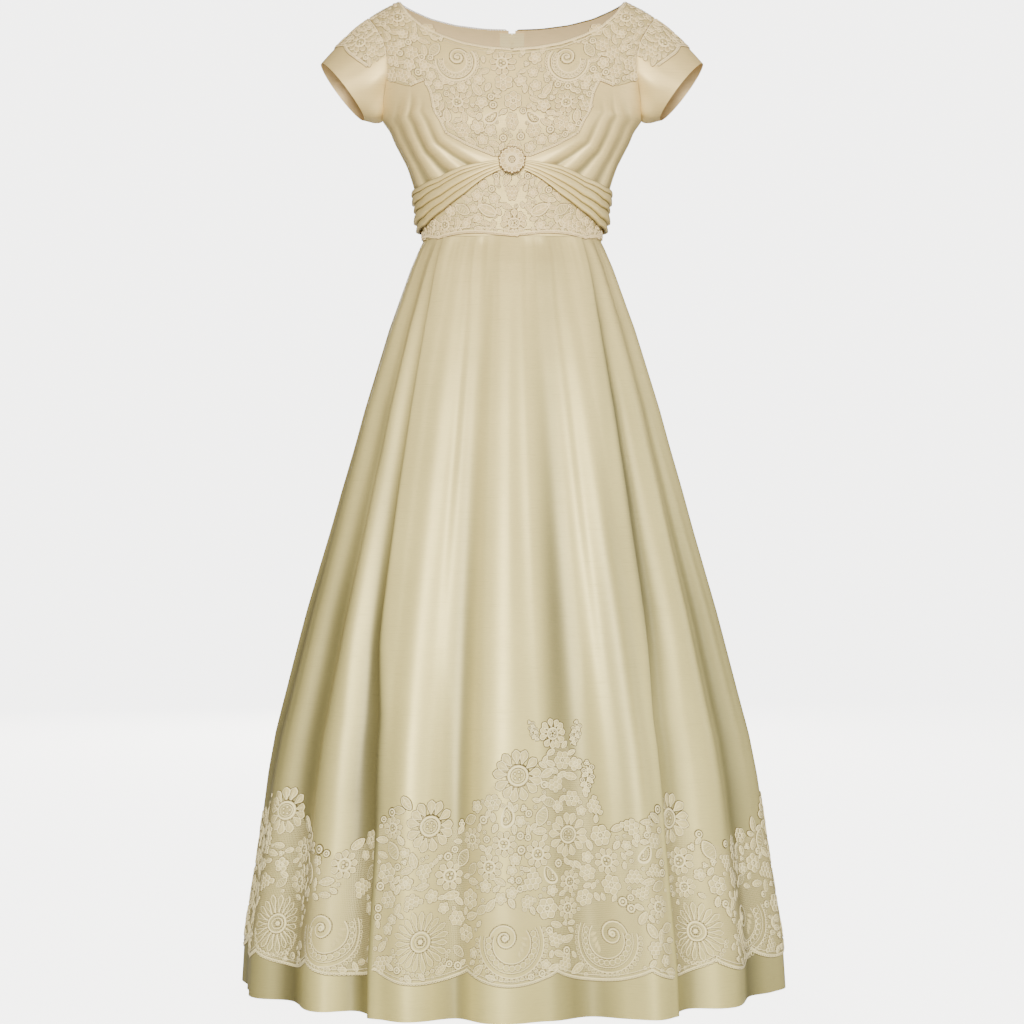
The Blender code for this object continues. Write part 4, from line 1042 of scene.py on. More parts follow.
# %% Skirt sides and backs
def skirt_panel(name, first, last, columns):
    """A skirt panel between two edges, each a function of the height."""
    heights = SKIRT_ROWS[::-1, None]
    angles = first(heights) + (last(heights) - first(heights)) * np.linspace(0, 1, columns)[None]
    outer = form_point(angles, heights + 0 * angles)
    inner = form_point(angles, heights + 0 * angles, -CLOTH_MM)
    cloth(name, outer, inner, (SATIN, LINING), painted_shade=painted_shade_share(angles, heights + 0 * angles))


BEHIND = BACK_DEG - JUST_BEHIND
skirt_panel("satin_skirt_side_right", lambda z: pleat_edge(z, 1) - UNDERLAP_DEG, lambda z: SIDE_DEG + 0 * z, 90)
skirt_panel("satin_skirt_side_left", lambda z: -SIDE_DEG + 0 * z, lambda z: UNDERLAP_DEG - pleat_edge(z, -1), 90)
skirt_panel("satin_skirt_back_right", lambda z: BEHIND + 0 * z, back_edge, 120)
skirt_panel("satin_skirt_back_left", lambda z: -back_edge(z), lambda z: -BEHIND + 0 * z, 120)

# %% [markdown]
# ## Lace motifs
#
# Corded lace could be painted on as a bump map, but its cords stand a millimetre proud and catch
# the light, so every motif is a mesh. All of them are made from two things that a lace maker
# has too: a cord that follows a line, and a padded petal. A motif is drawn flat in millimetres,
# u across, v up and h outwards, and is laid on the cloth afterwards.

# %% Cord and petal
# The cord's section, across and up as shares; its low brim on the right-hand side is painted as the cord's shadow.
CORD_SECTION = np.array([(-1.75, 0.0), (-0.85, 0.2), (-0.42, 1.0), (0.50, 0.95)])


def cord(line, width, height, closed=True, base=0.0):
    """A half-round cord along a flat line, with a painted shadow at its foot on its right-hand side."""
    line = np.asarray(line, float)
    count = len(line)
    if closed:
        way = np.roll(line, -1, 0) - np.roll(line, 1, 0)
    else:
        way = np.gradient(line, axis=0)
    way = way / np.maximum(np.linalg.norm(way, axis=1, keepdims=True), 1e-9)
    across = np.stack([-way[:, 1], way[:, 0]], 1)
    widths = np.asarray(width) * np.ones(count)
    spread = across[:, None] * (CORD_SECTION[None, :, :1] * widths[:, None, None])
    crown = np.tile(CORD_SECTION[:, 1], (count, 1))
    points = np.concatenate([line[:, None] + spread, base + height * crown[..., None], crown[..., None]], 2)
    wide = len(CORD_SECTION)
    i = np.arange(count if closed else count - 1)[:, None]
    j = np.arange(wide - 1)[None]
    ahead = (i + 1) % count * wide
    quads = np.stack([i * wide + j, ahead + j, ahead + j + 1, i * wide + j + 1], -1).reshape(-1, 4)
    return points.reshape(-1, 4), quads


def petal_width(t, belly):
    """Half width of a petal along its length, widest at belly."""
    return np.maximum(np.sin(math.pi * t ** (math.log(0.5) / math.log(belly))), 0.04) ** 0.75


def petal(length, half_width, height, start=0.0, belly=0.6, steps=5, across=3):
    """A padded petal along v."""
    t = np.linspace(0.02, 0.98, steps)
    s = np.linspace(-1, 1, across)
    u = s[None] * (half_width * petal_width(t, belly))[:, None]
    v = (start + t * length)[:, None] + 0 * u
    crown = (1 - s ** 2)[None] ** 0.6 * (0.45 + 0.55 * np.sin(math.pi * t))[:, None]
    # The padded middle of a petal is painted lighter than its edges, as a highlight.
    points = np.stack([u, v, height * crown, 0.36 + 0.14 * crown], -1).reshape(-1, 4)
    return points, grid_quads(steps, across)


def petal_line(length, half_width, start=0.0, belly=0.6, steps=6):
    """The outline of a petal as a closed line."""
    t = np.linspace(0.03, 0.99, steps)
    w = half_width * petal_width(t, belly)
    v = start + t * length
    return np.concatenate([np.stack([w, v], 1), np.stack([-w[::-1], v[::-1]], 1)])


def ring_line(radius, count=14, middle=(0, 0), squash=1.0, start=0.0, end=360.0):
    """A circle or an arc as a line."""
    turns = np.radians(np.linspace(start, end, count, endpoint=end - start < 360))
    return np.stack([middle[0] + radius * np.cos(turns), middle[1] + squash * radius * np.sin(turns)], 1)


def turned(part, degrees, middle=(0.0, 0.0), size=1.0):
    """A part turned, scaled and moved in its flat plane."""
    points, quads = part
    c, s = math.cos(math.radians(degrees)) * size, math.sin(math.radians(degrees)) * size
    points = points.copy()
    u, v = points[:, 0].copy(), points[:, 1].copy()
    points[:, 0] = u * c - v * s + middle[0]
    points[:, 1] = u * s + v * c + middle[1]
    return points, quads


def together(parts):
    """Several parts as one."""
    total, points, quads = 0, [], []
    for some_points, some_quads in parts:
        points.append(some_points)
        quads.append(some_quads + total)
        total += len(some_points)
    return np.concatenate(points), np.concatenate(quads)


def bead(radius, middle=(0.0, 0.0), height=1.0):
    """A knot of thread, as a tight ring."""
    return cord(ring_line(radius * 0.55, 6, middle), radius * 0.8, height)


# %% [markdown]
# The motifs are the ordinary ones of such lace: a daisy with a netted middle, a round ring flower,
# a small six-petalled flower, leaves, buds, drops, scrolls with a knob, and fans. They are my own
# drawings of the kind, at the sizes seen on the dress.

# %% Flowers and leaves
def daisy(radius, petals, rings=1.0):
    """A daisy: broad corded petals round a thick ring with knots in it."""
    parts = []
    for k in range(petals):
        uneven = 1.0 + 0.06 * math.sin(k * 2.3)
        length, half = 0.52 * radius * uneven, 2.1 * radius / petals
        one = together([
            petal(length, half, 0.7, 0.45 * radius, belly=0.66),
            cord(petal_line(length, half, 0.45 * radius, belly=0.66), 1.05, 1.2),
            cord([(0, 0.55 * radius), (0, 0.78 * radius)], 0.55, 1.0, closed=False),
        ])
        parts.append(turned(one, k * 360 / petals + 4 * math.sin(k * 1.7)))
    parts.append(cord(ring_line(0.38 * radius, 18, squash=0.92), 2.4 * rings, 1.7))
    parts.append(cord(ring_line(0.27 * radius, 14, squash=0.92), 0.9, 1.1))
    for k in range(5):
        at = (0.15 * radius * math.cos(k * 1.257), 0.14 * radius * math.sin(k * 1.257))
        parts.append(bead(1.4, at, 1.0))
    return together(parts)


def ring_flower(radius):
    """A flower of nine round petals with a thick ring in its middle."""
    parts = []
    for k in range(9):
        one = together([
            petal(radius * 0.50, radius * 0.20, 0.7, radius * 0.48, belly=0.6, steps=5),
            cord(petal_line(radius * 0.52, radius * 0.21, radius * 0.47, belly=0.6, steps=5), 0.95, 1.2),
        ])
        parts.append(turned(one, k * 40))
    parts.append(cord(ring_line(radius * 0.41, 14), radius * 0.12, 1.6))
    for k in range(3):
        parts.append(bead(radius * 0.09, (radius * 0.17 * math.cos(k * 2.09), radius * 0.17 * math.sin(k * 2.09))))
    return together(parts)


def round_flower(radius, petals=6):
    """A small flower with round corded petals."""
    parts = []
    for k in range(petals):
        one = together([
            petal(radius * 0.62, radius * 0.33, 0.8, radius * 0.36, belly=0.55, steps=5),
            cord(petal_line(radius * 0.66, radius * 0.36, radius * 0.34, belly=0.55, steps=5), 1.05, 1.1),
        ])
        parts.append(turned(one, k * 360 / petals))
    parts.append(cord(ring_line(radius * 0.27, 9), 1.5, 1.3))
    parts.append(bead(1.1))
    return together(parts)


def leaf(length, half_width, ribs=3):
    """A leaf with a corded edge, a middle rib and side ribs."""
    parts = [
        petal(length, half_width, 0.6, 0.0, belly=0.45),
        cord(petal_line(length, half_width, 0.0, belly=0.45, steps=8), 1.15, 1.15),
        cord([(0, 0.05 * length), (0, 0.5 * length), (0, 0.9 * length)], 0.8, 1.1, closed=False),
    ]
    for k in range(ribs):
        v = length * (0.25 + 0.5 * k / max(ribs - 1, 1))
        for side in (-1, 1):
            tip = (side * half_width * 0.7, v + 0.12 * length)
            parts.append(cord([(0, v), tip], 0.6, 1.0, closed=False))
    return together(parts)


def net_leaf(length, half_width):
    """An open leaf: a corded oval with a bar net and no padding."""
    line = petal_line(length, half_width, 0.0, belly=0.5, steps=9)
    parts = [cord(line, 1.3, 1.2)]
    for k in range(1, 6):
        v = length * k / 6
        half = 0.8 * half_width * float(petal_width(np.array(k / 6), 0.5))
        parts.append(cord([(-half, v - 1.2), (half, v + 1.2)], 0.5, 0.5, closed=False))
        parts.append(cord([(-half, v + 1.2), (half, v - 1.2)], 0.5, 0.5, closed=False))
    return together(parts)


def bud(radius):
    """A ring with a knot in it."""
    return together([cord(ring_line(radius * 0.8, 11), radius * 0.3, 1.2), bead(radius * 0.32, height=1.1)])


def three_knots(size):
    """Three knots in a cluster."""
    return together([
        cord(ring_line(size * 0.42, 8, (size * 0.6 * math.cos(t), size * 0.6 * math.sin(t))), size * 0.34, 1.2)
        for t in (1.57, 3.67, 5.76)
    ])


def drop(length, hand=1):
    """A curled drop with a thick rim on its outer side and knots inside."""
    t = np.linspace(0, 2 * math.pi, 22, endpoint=False)
    u = hand * length * 0.36 * np.sin(t) * (1 - 0.35 * np.cos(t)) + hand * length * 0.16 * (1 + np.cos(t)) ** 1.3
    v = -length * 0.5 * np.cos(t) * -1
    line = np.stack([u, v], 1)
    if hand < 0:
        line = line[::-1]
    inner = line * 0.62
    parts = [cord(line, 1.3 + 1.6 * (1 - np.cos(t)) / 2, 1.5), cord(inner, 0.8, 1.0)]
    for k in (-1, 0, 1):
        parts.append(bead(1.3, (hand * length * 0.02, k * length * 0.17 - length * 0.08), 1.0))
    return together(parts)


def mirrored(line, hand):
    """A line as drawn, or mirrored left to right and run backwards so that its outside stays outside."""
    return line if hand > 0 else line[::-1] * (-1, 1)


def scroll(radius, hand=1):
    """A comma: a curled head from which three bands sweep round, with rings and loops between them."""
    parts = []
    for share, start, end, width in ((1.0, 168, 388, 1.3), (0.86, 165, 392, 0.9), (0.58, 158, 400, 1.2)):
        line = ring_line(radius * share, 24, start=start, end=end)
        parts.append(cord(mirrored(line, hand), width, 1.4, closed=False))
    for turn in np.radians(np.arange(172, 392, 14)):
        at = (hand * 0.72 * radius * math.cos(turn), 0.72 * radius * math.sin(turn))
        parts.append(cord(ring_line(radius * 0.085, 8, at), 0.85, 1.2))
    for turn in np.radians(np.arange(176, 384, 8.5)):
        at = (hand * 1.09 * radius * math.cos(turn), 1.09 * radius * math.sin(turn))
        parts.append(cord(ring_line(radius * 0.062, 6, at), 0.75, 1.0))
    t = np.linspace(0, 3.1 * math.pi, 28)
    shrink = 0.46 * radius * (1 - 0.80 * (t / t[-1]) ** 0.8)
    spiral = np.stack([shrink * np.cos(math.pi - t) - 0.22 * radius, shrink * np.sin(math.pi - t) + 0.16 * radius], 1)
    parts.append(cord(mirrored(spiral[::-1], hand), 1.5, 1.6, closed=False))
    knob = (-0.22 * radius * hand, 0.16 * radius)
    parts.append(cord(ring_line(radius * 0.06, 8, knob), radius * 0.05, 1.6))
    for k in range(4):
        shell = turned(petal(radius * 0.26, radius * 0.07, 0.7), -110 * hand - 22 * k * hand,
                       (hand * radius * (0.28 - 0.02 * k), radius * (0.18 - 0.12 * k)))
        parts.append(shell)
    return together(parts)


def scales(size):
    """Rows of round scales, as on a pine cone."""
    parts = []
    for row, count in enumerate((4, 3, 2)):
        for k in range(count):
            one = together([
                petal(size * 0.42, size * 0.20, 0.7, steps=5),
                cord(petal_line(size * 0.44, size * 0.21, belly=0.6, steps=5), 0.95, 1.2),
            ])
            parts.append(turned(one, 180, ((k - (count - 1) / 2) * size * 0.42, size * (0.62 - 0.34 * row))))
    return together(parts)


def fan(radius, ribs=19):
    """A large open flower: thin ribs all round a double ring, with loops along its lower side."""
    parts = []
    for k in range(ribs):
        line = petal_line(radius * 0.62 * (1 + 0.08 * math.sin(2.1 * k)), radius * 0.085, radius * 0.36, belly=0.75)
        parts.append(turned(cord(line, 0.85, 1.2), k * 360 / ribs))
    parts.append(cord(ring_line(radius * 0.31, 18), 2.0, 1.6))
    parts.append(cord(ring_line(radius * 0.19, 12), 1.0, 1.3))
    parts.append(bead(radius * 0.08))
    for turn in np.radians(np.arange(196, 346, 9)):
        at = (1.08 * radius * math.cos(turn), 1.08 * radius * math.sin(turn))
        parts.append(cord(ring_line(radius * 0.065, 7, at), 0.8, 1.1))
    return together(parts)


def sprig(length, buds=5):
    """A curved stem with buds and small leaves on both sides."""
    t = np.linspace(0, 1, 12)
    stem = np.stack([length * 0.16 * np.sin(t * 2.6), length * t], 1)
    parts = [cord(stem, 1.2, 1.2, closed=False)]
    for k in range(buds):
        at = stem[2 + 2 * k % 10]
        side = -1 if k % 2 else 1
        parts.append(turned(bud(3.3), 0, (at[0] + side * 5.2, at[1] + 2.5)))
        parts.append(turned(leaf(8.5, 2.3, 0), -side * 128, (at[0], at[1])))
    parts.append(turned(three_knots(3.2), 0, (stem[-1][0], stem[-1][1] + 4)))
    return together(parts)


MOTIFS = {
    "daisy": (daisy(34.0, 13), 35.0),
    "small_daisy": (daisy(20.0, 11, 0.75), 20.0),
    "ring_flower": (ring_flower(19.0), 18.5),
    "scales": (scales(17.0), 12.0),
    "flower": (round_flower(13.0), 13.0),
    "small_flower": (round_flower(8.0, 5), 8.0),
    "bud": (bud(5.2), 5.2),
    "knots": (three_knots(4.0), 4.8),
    "knot": (bud(2.6), 2.7),
    "scroll": (scroll(43.0), 45.0),
    "scroll_back": (scroll(43.0, -1), 45.0),
    "small_scroll": (scroll(24.0), 25.0),
    "small_scroll_back": (scroll(24.0, -1), 25.0),
    "fan": (fan(39.0), 39.0),
    "drop": (drop(24.0), 11.5),
    "drop_back": (drop(24.0, -1), 11.5),
    "leaf": (turned(leaf(22.0, 5.4), 0, (0, -11)), 7.6),
    "small_leaf": (turned(leaf(13.0, 3.4, 2), 0, (0, -6.5)), 4.3),
    "net_leaf": (turned(net_leaf(28.0, 8.0), 0, (0, -14)), 10.5),
    "sprig": (turned(sprig(34.0), 0, (0, -17)), 13.0),
}
print("motifs:", {name: len(part[1]) for name, (part, _) in MOTIFS.items()})

# %% [markdown]
# ## Laying lace on cloth
#
# A piece of lace work gathers motifs by their place on one panel and lays them all at once. The
# large motifs are listed one by one with their places. The gaps between them are filled from large
# to small with flowers, leaves, buds and knots that don't touch each other, which is how a lace
# designer fills a ground. The random places come from a fixed seed, so each run gives the same lace.

# %% Lace work
SMALL_STEP = 0.05


class LaceWork:
    """Raised motifs laid on one surface."""

    def __init__(self, surface, inside, origin, seed):
        self.surface = surface
        self.inside = inside
        self.random = np.random.default_rng(seed)
        self.points, self.quads, self.total = [], [], 0
        self.taken = []
        self.unit = [float(value[0]) for value in self.scale(np.array(origin[:1]), np.array(origin[1:]))]

    def scale(self, a, b):
        """Millimetres for each unit of the surface's two measures at some places."""
        flat = np.zeros(len(a))
        step_a = self.surface(a + SMALL_STEP, b, flat) - self.surface(a - SMALL_STEP, b, flat)
        step_b = self.surface(a, b + SMALL_STEP, flat) - self.surface(a, b - SMALL_STEP, flat)
        return [np.linalg.norm(step, axis=1) / (2 * SMALL_STEP) for step in (step_a, step_b)]

    def lay(self, points, quads, a, b):
        """Keeps flat points in mm, drawn round a place of the surface, for the mesh."""
        middle = np.tile((a, b), (len(points), 1))
        self.points.append(np.concatenate([points, middle], 1))
        self.quads.append(quads + self.total)
        self.total += len(points)

    def motif(self, name, a, b, turn=0.0, size=1.0):
        """Lays one of the motifs and keeps its place taken."""
        part, radius = MOTIFS[name]
        self.lay(*turned(part, turn, size=size), a, b)
        self.taken.append((a * self.unit[0], b * self.unit[1], radius * size))

    def fill(self, kinds, low, high):
        """Fills the gaps with motifs. Columns of kinds: name, tries, smallest size, largest size, gap."""
        scale_a, scale_b = self.unit
        for name, tries, small, large, gap in kinds:
            radius = MOTIFS[name][1]
            for _ in range(tries):
                a, b = self.random.uniform(low, high)
                size, turn = self.random.uniform(small, large), self.random.uniform(0, 360)
                if not self.inside(a, b, radius * size * 0.8):
                    continue
                taken = np.array(self.taken) if self.taken else np.zeros((1, 3)) - 1e6
                away = np.hypot(taken[:, 0] - a * scale_a, taken[:, 1] - b * scale_b) - taken[:, 2]
                if away.min() < radius * size + gap:
                    continue
                self.motif(name, a, b, turn, size)

    def edge(self, a, b, width=1.8, height=1.5, loops=True, loop_mm=3.4, out=1.0):
        """A cord along an edge, with a row of little loops on its outer side."""
        middle = float(np.mean(a)), float(np.mean(b))
        scale_a, scale_b = [float(v[0]) for v in self.scale(np.array(middle[:1]), np.array(middle[1:]))]
        line = np.stack([(a - middle[0]) * scale_a, (b - middle[1]) * scale_b], 1)
        steps = np.hypot(*np.diff(line, axis=0).T)
        run = np.concatenate([[0], np.cumsum(steps)])
        at = np.arange(0, run[-1], 2.2)
        line = np.stack([np.interp(at, run, line[:, i]) for i in (0, 1)], 1)
        parts = [cord(line, width, height, closed=False)]
        if loops:
            at = np.arange(loop_mm, run[-1] - loop_mm, loop_mm)
            way = np.gradient(line, axis=0)
            way = way / np.linalg.norm(way, axis=1, keepdims=True)
            places = np.arange(0, len(line)) * 2.2
            for place in at:
                here = [np.interp(place, places, line[:, i]) for i in (0, 1)]
                ahead = [np.interp(place, places, way[:, i]) for i in (0, 1)]
                centre = (here[0] + out * 1.9 * ahead[1], here[1] - out * 1.9 * ahead[0])
                parts.append(cord(ring_line(1.25, 6, centre), 0.85, 0.9))
        self.lay(*together(parts), *middle)

    def finish(self, name, surface_material):
        """Makes the mesh of all the motifs laid so far."""
        laid = np.concatenate(self.points)
        middles, back = np.unique(laid[:, 4:], axis=0, return_inverse=True)
        scale_a, scale_b = self.scale(middles[:, 0], middles[:, 1])
        back = back.ravel()
        a = laid[:, 4] + laid[:, 0] / scale_a[back]
        b = laid[:, 5] + laid[:, 1] / scale_b[back]
        points = self.surface(a, b, laid[:, 2])
        made = add_piece(name, points, np.concatenate(self.quads), (surface_material,), shade=laid[:, 3])
        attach(made, "dress")
        print(name, len(made.data.polygons), "faces,", len(self.taken), "motifs")
        return made


def net_sheet(name, surface, a, b, low_mm=0.1, high_mm=0.35):
    """The net ground of a lace, as a very thin sheet over grids of the two measures."""
    flat_a, flat_b = a.ravel(), b.ravel()
    outer = surface(flat_a, flat_b, np.full(a.size, high_mm)).reshape(*a.shape, 3)
    inner = surface(flat_a, flat_b, np.full(a.size, low_mm)).reshape(*a.shape, 3)
    return cloth(name, *facing_out(outer, inner), (NET,))


# %% [markdown]
# ### Lace of the hem
#
# The hem lace is the richest part: a scalloped border where fans and scrolls take turns, a band of
# flowers above it, and daisies that climb into the satin, highest at the centre front. The plain
# satin shows below it.

# %% Places of the hem lace
LACE_LIFT_MM = 0.5
LACE_BOTTOM_MM = -1319.0
SCALLOPS = 20
SCALLOP_RISE_MM = 17.0
# Columns: angle, top height of the hem lace.
LACE_TOP = np.array([
    (-180, -1092), (-168, -1150), (-152, -1078), (-138, -1155), (-122, -1088), (-106, -1150),
    (-90, -1135), (-76, -1122), (-62, -1081), (-52, -1130), (-43, -1158), (-34, -1135), (-22, -1083),
    (-10, -1112), (1, -1014), (6, -1050), (12, -975), (20, -1123), (28, -1110), (36, -1079),
    (46, -1135), (57, -1163), (68, -1140), (80, -1109), (95, -1140), (108, -1155), (122, -1085),
    (138, -1150), (152, -1078), (168, -1145), (180, -1092),
], float)
# Columns: motif, angle, height, turn in degrees, size.
HEM_MOTIFS = (
    ("daisy", -60.6, -1115, 8, 0.95), ("daisy", -17.4, -1119, 0, 1.0), ("daisy", 1.3, -1053, 5, 1.0),
    ("small_daisy", 9.5, -1001, 10, 1.0), ("daisy", 12.4, -1131, 3, 0.85), ("daisy", 37.5, -1116, 0, 1.0),
    ("daisy", 79, -1130, 5, 0.95), ("flower", -8.6, -1211, 0, 1.0), ("flower", 47.5, -1206, 10, 1.0),
    ("flower", 21.0, -1195, 20, 1.0), ("small_flower", -21.3, -1190, 0, 1.1),
    ("small_flower", -16.5, -1208, 15, 1.1), ("small_flower", -60, -1187, 0, 1.2),
    ("ring_flower", -38.5, -1176, 0, 1.0), ("ring_flower", -4.6, -1168, 0, 0.9),
    ("ring_flower", 57, -1165, 0, 1.0), ("drop", -1.5, -1106, 30, 1.0), ("net_leaf", 6.4, -1106, -24, 0.9),
    ("net_leaf", -24.5, -1150, 35, 0.9), ("net_leaf", -10.5, -1160, -30, 0.9),
    ("drop_back", 8.5, -1180, 0, 0.9), ("sprig", 16.5, -1060, -8, 1.0), ("sprig", 4.5, -1000, 20, 0.7),
    ("sprig", 14.5, -1003, -15, 0.8), ("net_leaf", 46.5, -1160, 30, 1.0), ("drop", 27.0, -1155, 0, 0.9),
    ("leaf", -53.5, -1130, 40, 1.1), ("sprig", -66, -1158, 0, 1.0), ("flower", 68, -1190, 0, 1.0),
    ("net_leaf", 72, -1160, -20, 1.0), ("net_leaf", -47, -1190, 20, 1.0), ("drop", -72, -1190, 0, 1.0),
    ("daisy", -100, -1133, 0, 0.95), ("daisy", -122, -1120, 6, 1.0), ("daisy", -151, -1110, 0, 1.0),
    ("small_daisy", -172, -1125, 0, 1.1), ("daisy", 100, -1150, 4, 0.8), ("daisy", 122, -1118, 0, 1.0),
    ("daisy", 151, -1110, 6, 1.0), ("small_daisy", 172, -1125, 0, 1.1), ("ring_flower", 90, -1185, 0, 1.0),
    ("ring_flower", -90, -1185, 0, 1.0), ("ring_flower", 137, -1182, 0, 1.0),
    ("ring_flower", -137, -1182, 0, 1.0), ("flower", 111, -1200, 0, 1.0), ("flower", -111, -1200, 0, 1.0),
    ("flower", 163, -1190, 0, 1.0), ("flower", -163, -1190, 0, 1.0), ("net_leaf", 129, -1160, 30, 1.0),
    ("net_leaf", -129, -1160, -30, 1.0), ("net_leaf", 144, -1205, -30, 1.0), ("net_leaf", -144, -1205, 30, 1.0),
    ("drop", 104, -1205, 0, 1.0), ("drop_back", -104, -1205, 0, 1.0), ("drop", 156, -1160, 0, 0.9),
    ("drop_back", -156, -1160, 0, 0.9),
)
# Columns: angle, motif.
BORDER = (
    (-171, "fan"), (-154, "scroll"), (-136, "fan"), (-118, "scroll_back"), (-100, "fan"), (-81, "scroll_back"),
    (-59, "fan"), (-40, "scroll"), (-18, "fan"), (0, "scroll"), (19.5, "scroll_back"), (42, "fan"),
    (61, "scroll"), (81, "fan"), (100, "scroll"), (118, "fan"), (136, "scroll"), (154, "fan"), (171, "scroll_back"),
)
FILLERS = (
    ("ring_flower", 120, 0.75, 1.0, 0.2), ("scales", 260, 0.8, 1.15, 0.2), ("flower", 400, 0.75, 1.1, 0.2),
    ("net_leaf", 260, 0.6, 0.95, 0.2),
    ("small_flower", 500, 0.8, 1.1, 0.0), ("leaf", 900, 0.7, 1.0, 0.0), ("bud", 900, 0.8, 1.1, 0.1),
    ("small_leaf", 2400, 0.75, 1.05, 0.0), ("knots", 1300, 0.8, 1.1, 0.1), ("knot", 1200, 0.9, 1.1, 0.2),
)
PANEL_EDGE_ROOM_DEG = 0.5


def scallop_bottom(angle):
    """Height of the lace's lower edge, which dips once for each scallop."""
    dip = np.abs(np.cos(np.radians(angle * SCALLOPS / 2)))
    return LACE_BOTTOM_MM + SCALLOP_RISE_MM * (1 - dip ** 0.7)


def hem_front_surface(angle, z, h):
    """Points over the skirt front, h mm above the lace's underside."""
    return form_point(angle, z, pleat_lift(angle, z) + LACE_LIFT_MM + h)


def hem_side_surface(angle, z, h):
    """Points over the side and back panels."""
    return form_point(angle, z, LACE_LIFT_MM + h)


def front_span(z):
    """The angles between which lace may lie on the skirt front."""
    roll = np.degrees((table(PLEAT_LIFT, z, 1) - table(PLEAT_LIFT, z, 3)) / 2 / table(FORM, z, 1))
    room = PANEL_EDGE_ROOM_DEG + roll
    return -pleat_edge(z, -1) + room, pleat_edge(z, 1) - room


def side_span(z, side):
    """The angles, all positive, between which lace may lie beside the fold and round the back."""
    return pleat_edge(z, side) + 0.35, back_edge(z) - PANEL_EDGE_ROOM_DEG / 4


def hem_inside(span):
    """A test of a place in the hem lace for a panel whose span is a function of the height."""
    def inside(angle, z, room):
        low, high = span(z)
        across = room / 5.8
        if not low + across < angle < high - across:
            return False
        return scallop_bottom(angle) + room + 3 < z < table(LACE_TOP, angle, 1) - room * 0.4
    return inside


def hem_net(name, surface, span, columns, side=1):
    """The net ground of the hem lace on one panel."""
    shares = np.linspace(0, 1, columns)
    low, high = span(np.array(LACE_BOTTOM_MM))
    bottom = scallop_bottom(side * (low + (high - low) * shares))
    top = table(LACE_TOP, side * (low + (high - low) * shares), 1) - 13.0
    heights = bottom + (top - bottom) * np.linspace(0, 1, 15)[:, None]
    low, high = span(heights)
    return net_sheet(name, surface, side * (low + (high - low) * shares[None]), heights)


def hem_lace(word, surface, span, low, high, seed):
    """The motifs of the hem lace on one panel."""
    work = LaceWork(surface, hem_inside(span), ((low + high) / 2, -1220.0), seed)
    for angle, name in BORDER:
        z = LACE_BOTTOM_MM + 54.0
        if work.inside(angle, z, 40.0):
            work.motif(name, angle, z)
    for name, angle, z, turn, size in HEM_MOTIFS:
        left, right = span(z)
        if left + 1.2 < angle < right - 1.2:
            work.motif(name, angle, z, turn, size)
    work.fill(FILLERS, (low, LACE_BOTTOM_MM), (high, -975.0))
    left, right = span(LACE_BOTTOM_MM)
    angles = np.linspace(left, right, 400)
    work.edge(angles, scallop_bottom(angles) + 2.6, 1.3, 1.4, True, 3.6)
    work.edge(angles, scallop_bottom(angles) + 7.0, 0.8, 1.0, False)
    return work.finish("hem_motifs_" + word, CORD)


def span_of(side):
    """The span of a side in signed angles, lowest first."""
    def span(z):
        low, high = side_span(z, side)
        return (low, high) if side > 0 else (-high, -low)
    return span


hem_net("hem_net_front", hem_front_surface, front_span, 160)
hem_lace("front", hem_front_surface, front_span, -36.0, 36.0, 11)
for side, word in SIDES:
    hem_net("hem_net_" + word, hem_side_surface, lambda z, side=side: side_span(z, side), 260, side)
    hem_lace(word, hem_side_surface, span_of(side), *sorted((side * 28.0, side * 180.0)), 23 + side)

# %% [markdown]
# ### Lace of the yoke and the back neck
#
# The yoke is covered with lace from edge to edge: a big scroll on each side of the neck, ring
# flowers on the shoulders, and smaller flowers down the V. A cord with tiny loops runs along the
# neck and the V. The surface needs true normals here, because the shoulders turn level.

# %% Yoke lace
YOKE_LIFT_MM = 0.7
# Columns: motif, distance from the centre, height, turn in degrees, size; used on both sides.
YOKE_PAIRS = (
    ("ring_flower", 157, -31, 0, 0.9), ("small_scroll_back", 78, -100, 20, 1.15), ("ring_flower", 74, -158, 0, 0.85),
    ("flower", 138, -84, 0, 0.8), ("small_flower", 150, -56, 0, 1.0), ("flower", 116, -52, 20, 0.8),
    ("drop", 31, -178, -20, 0.8), ("leaf", 48, -140, 30, 0.9), ("small_flower", 100, -132, 0, 0.9),
    ("small_flower", 40, -208, 0, 0.9), ("bud", 128, -112, 0, 1.0), ("net_leaf", 106, -82, -35, 0.8),
    ("leaf", 172, -56, 20, 0.8), ("bud", 178, -38, 0, 1.0), ("leaf", 88, -176, -15, 0.9),
)
YOKE_MIDDLE = (
    ("ring_flower", -14, -103, 0, 0.9), ("flower", -12, -130, 0, 0.9), ("small_flower", 12, -128, 10, 1.0),
    ("flower", 2, -156, 0, 1.0), ("flower", 0, -184, 20, 0.9), ("bud", -12, -206, 0, 0.9),
    ("bud", 12, -204, 0, 0.9),
)
YOKE_FILLERS = (
    ("flower", 500, 0.7, 0.95, 0.0), ("small_flower", 900, 0.85, 1.15, 0.0), ("leaf", 900, 0.6, 0.85, 0.0),
    ("bud", 900, 0.7, 1.0, 0.1), ("small_leaf", 2200, 0.65, 0.95, -0.2), ("knots", 900, 0.7, 0.95, 0.0),
    ("knot", 2600, 0.8, 1.1, 0.1),
)


def bodice_surface(angle, z, h):
    """Points over the bodice along its true normals."""
    points, normals = on_form(angle, z)
    return points + (YOKE_LIFT_MM + np.asarray(h))[..., None] * normals


def x_at(angle, z):
    """Distance of a point of the bodice from the centre line."""
    power = 2.0 / SQUARENESS
    return float(table(FORM, z, 1) * abs(math.sin(math.radians(angle))) ** power)


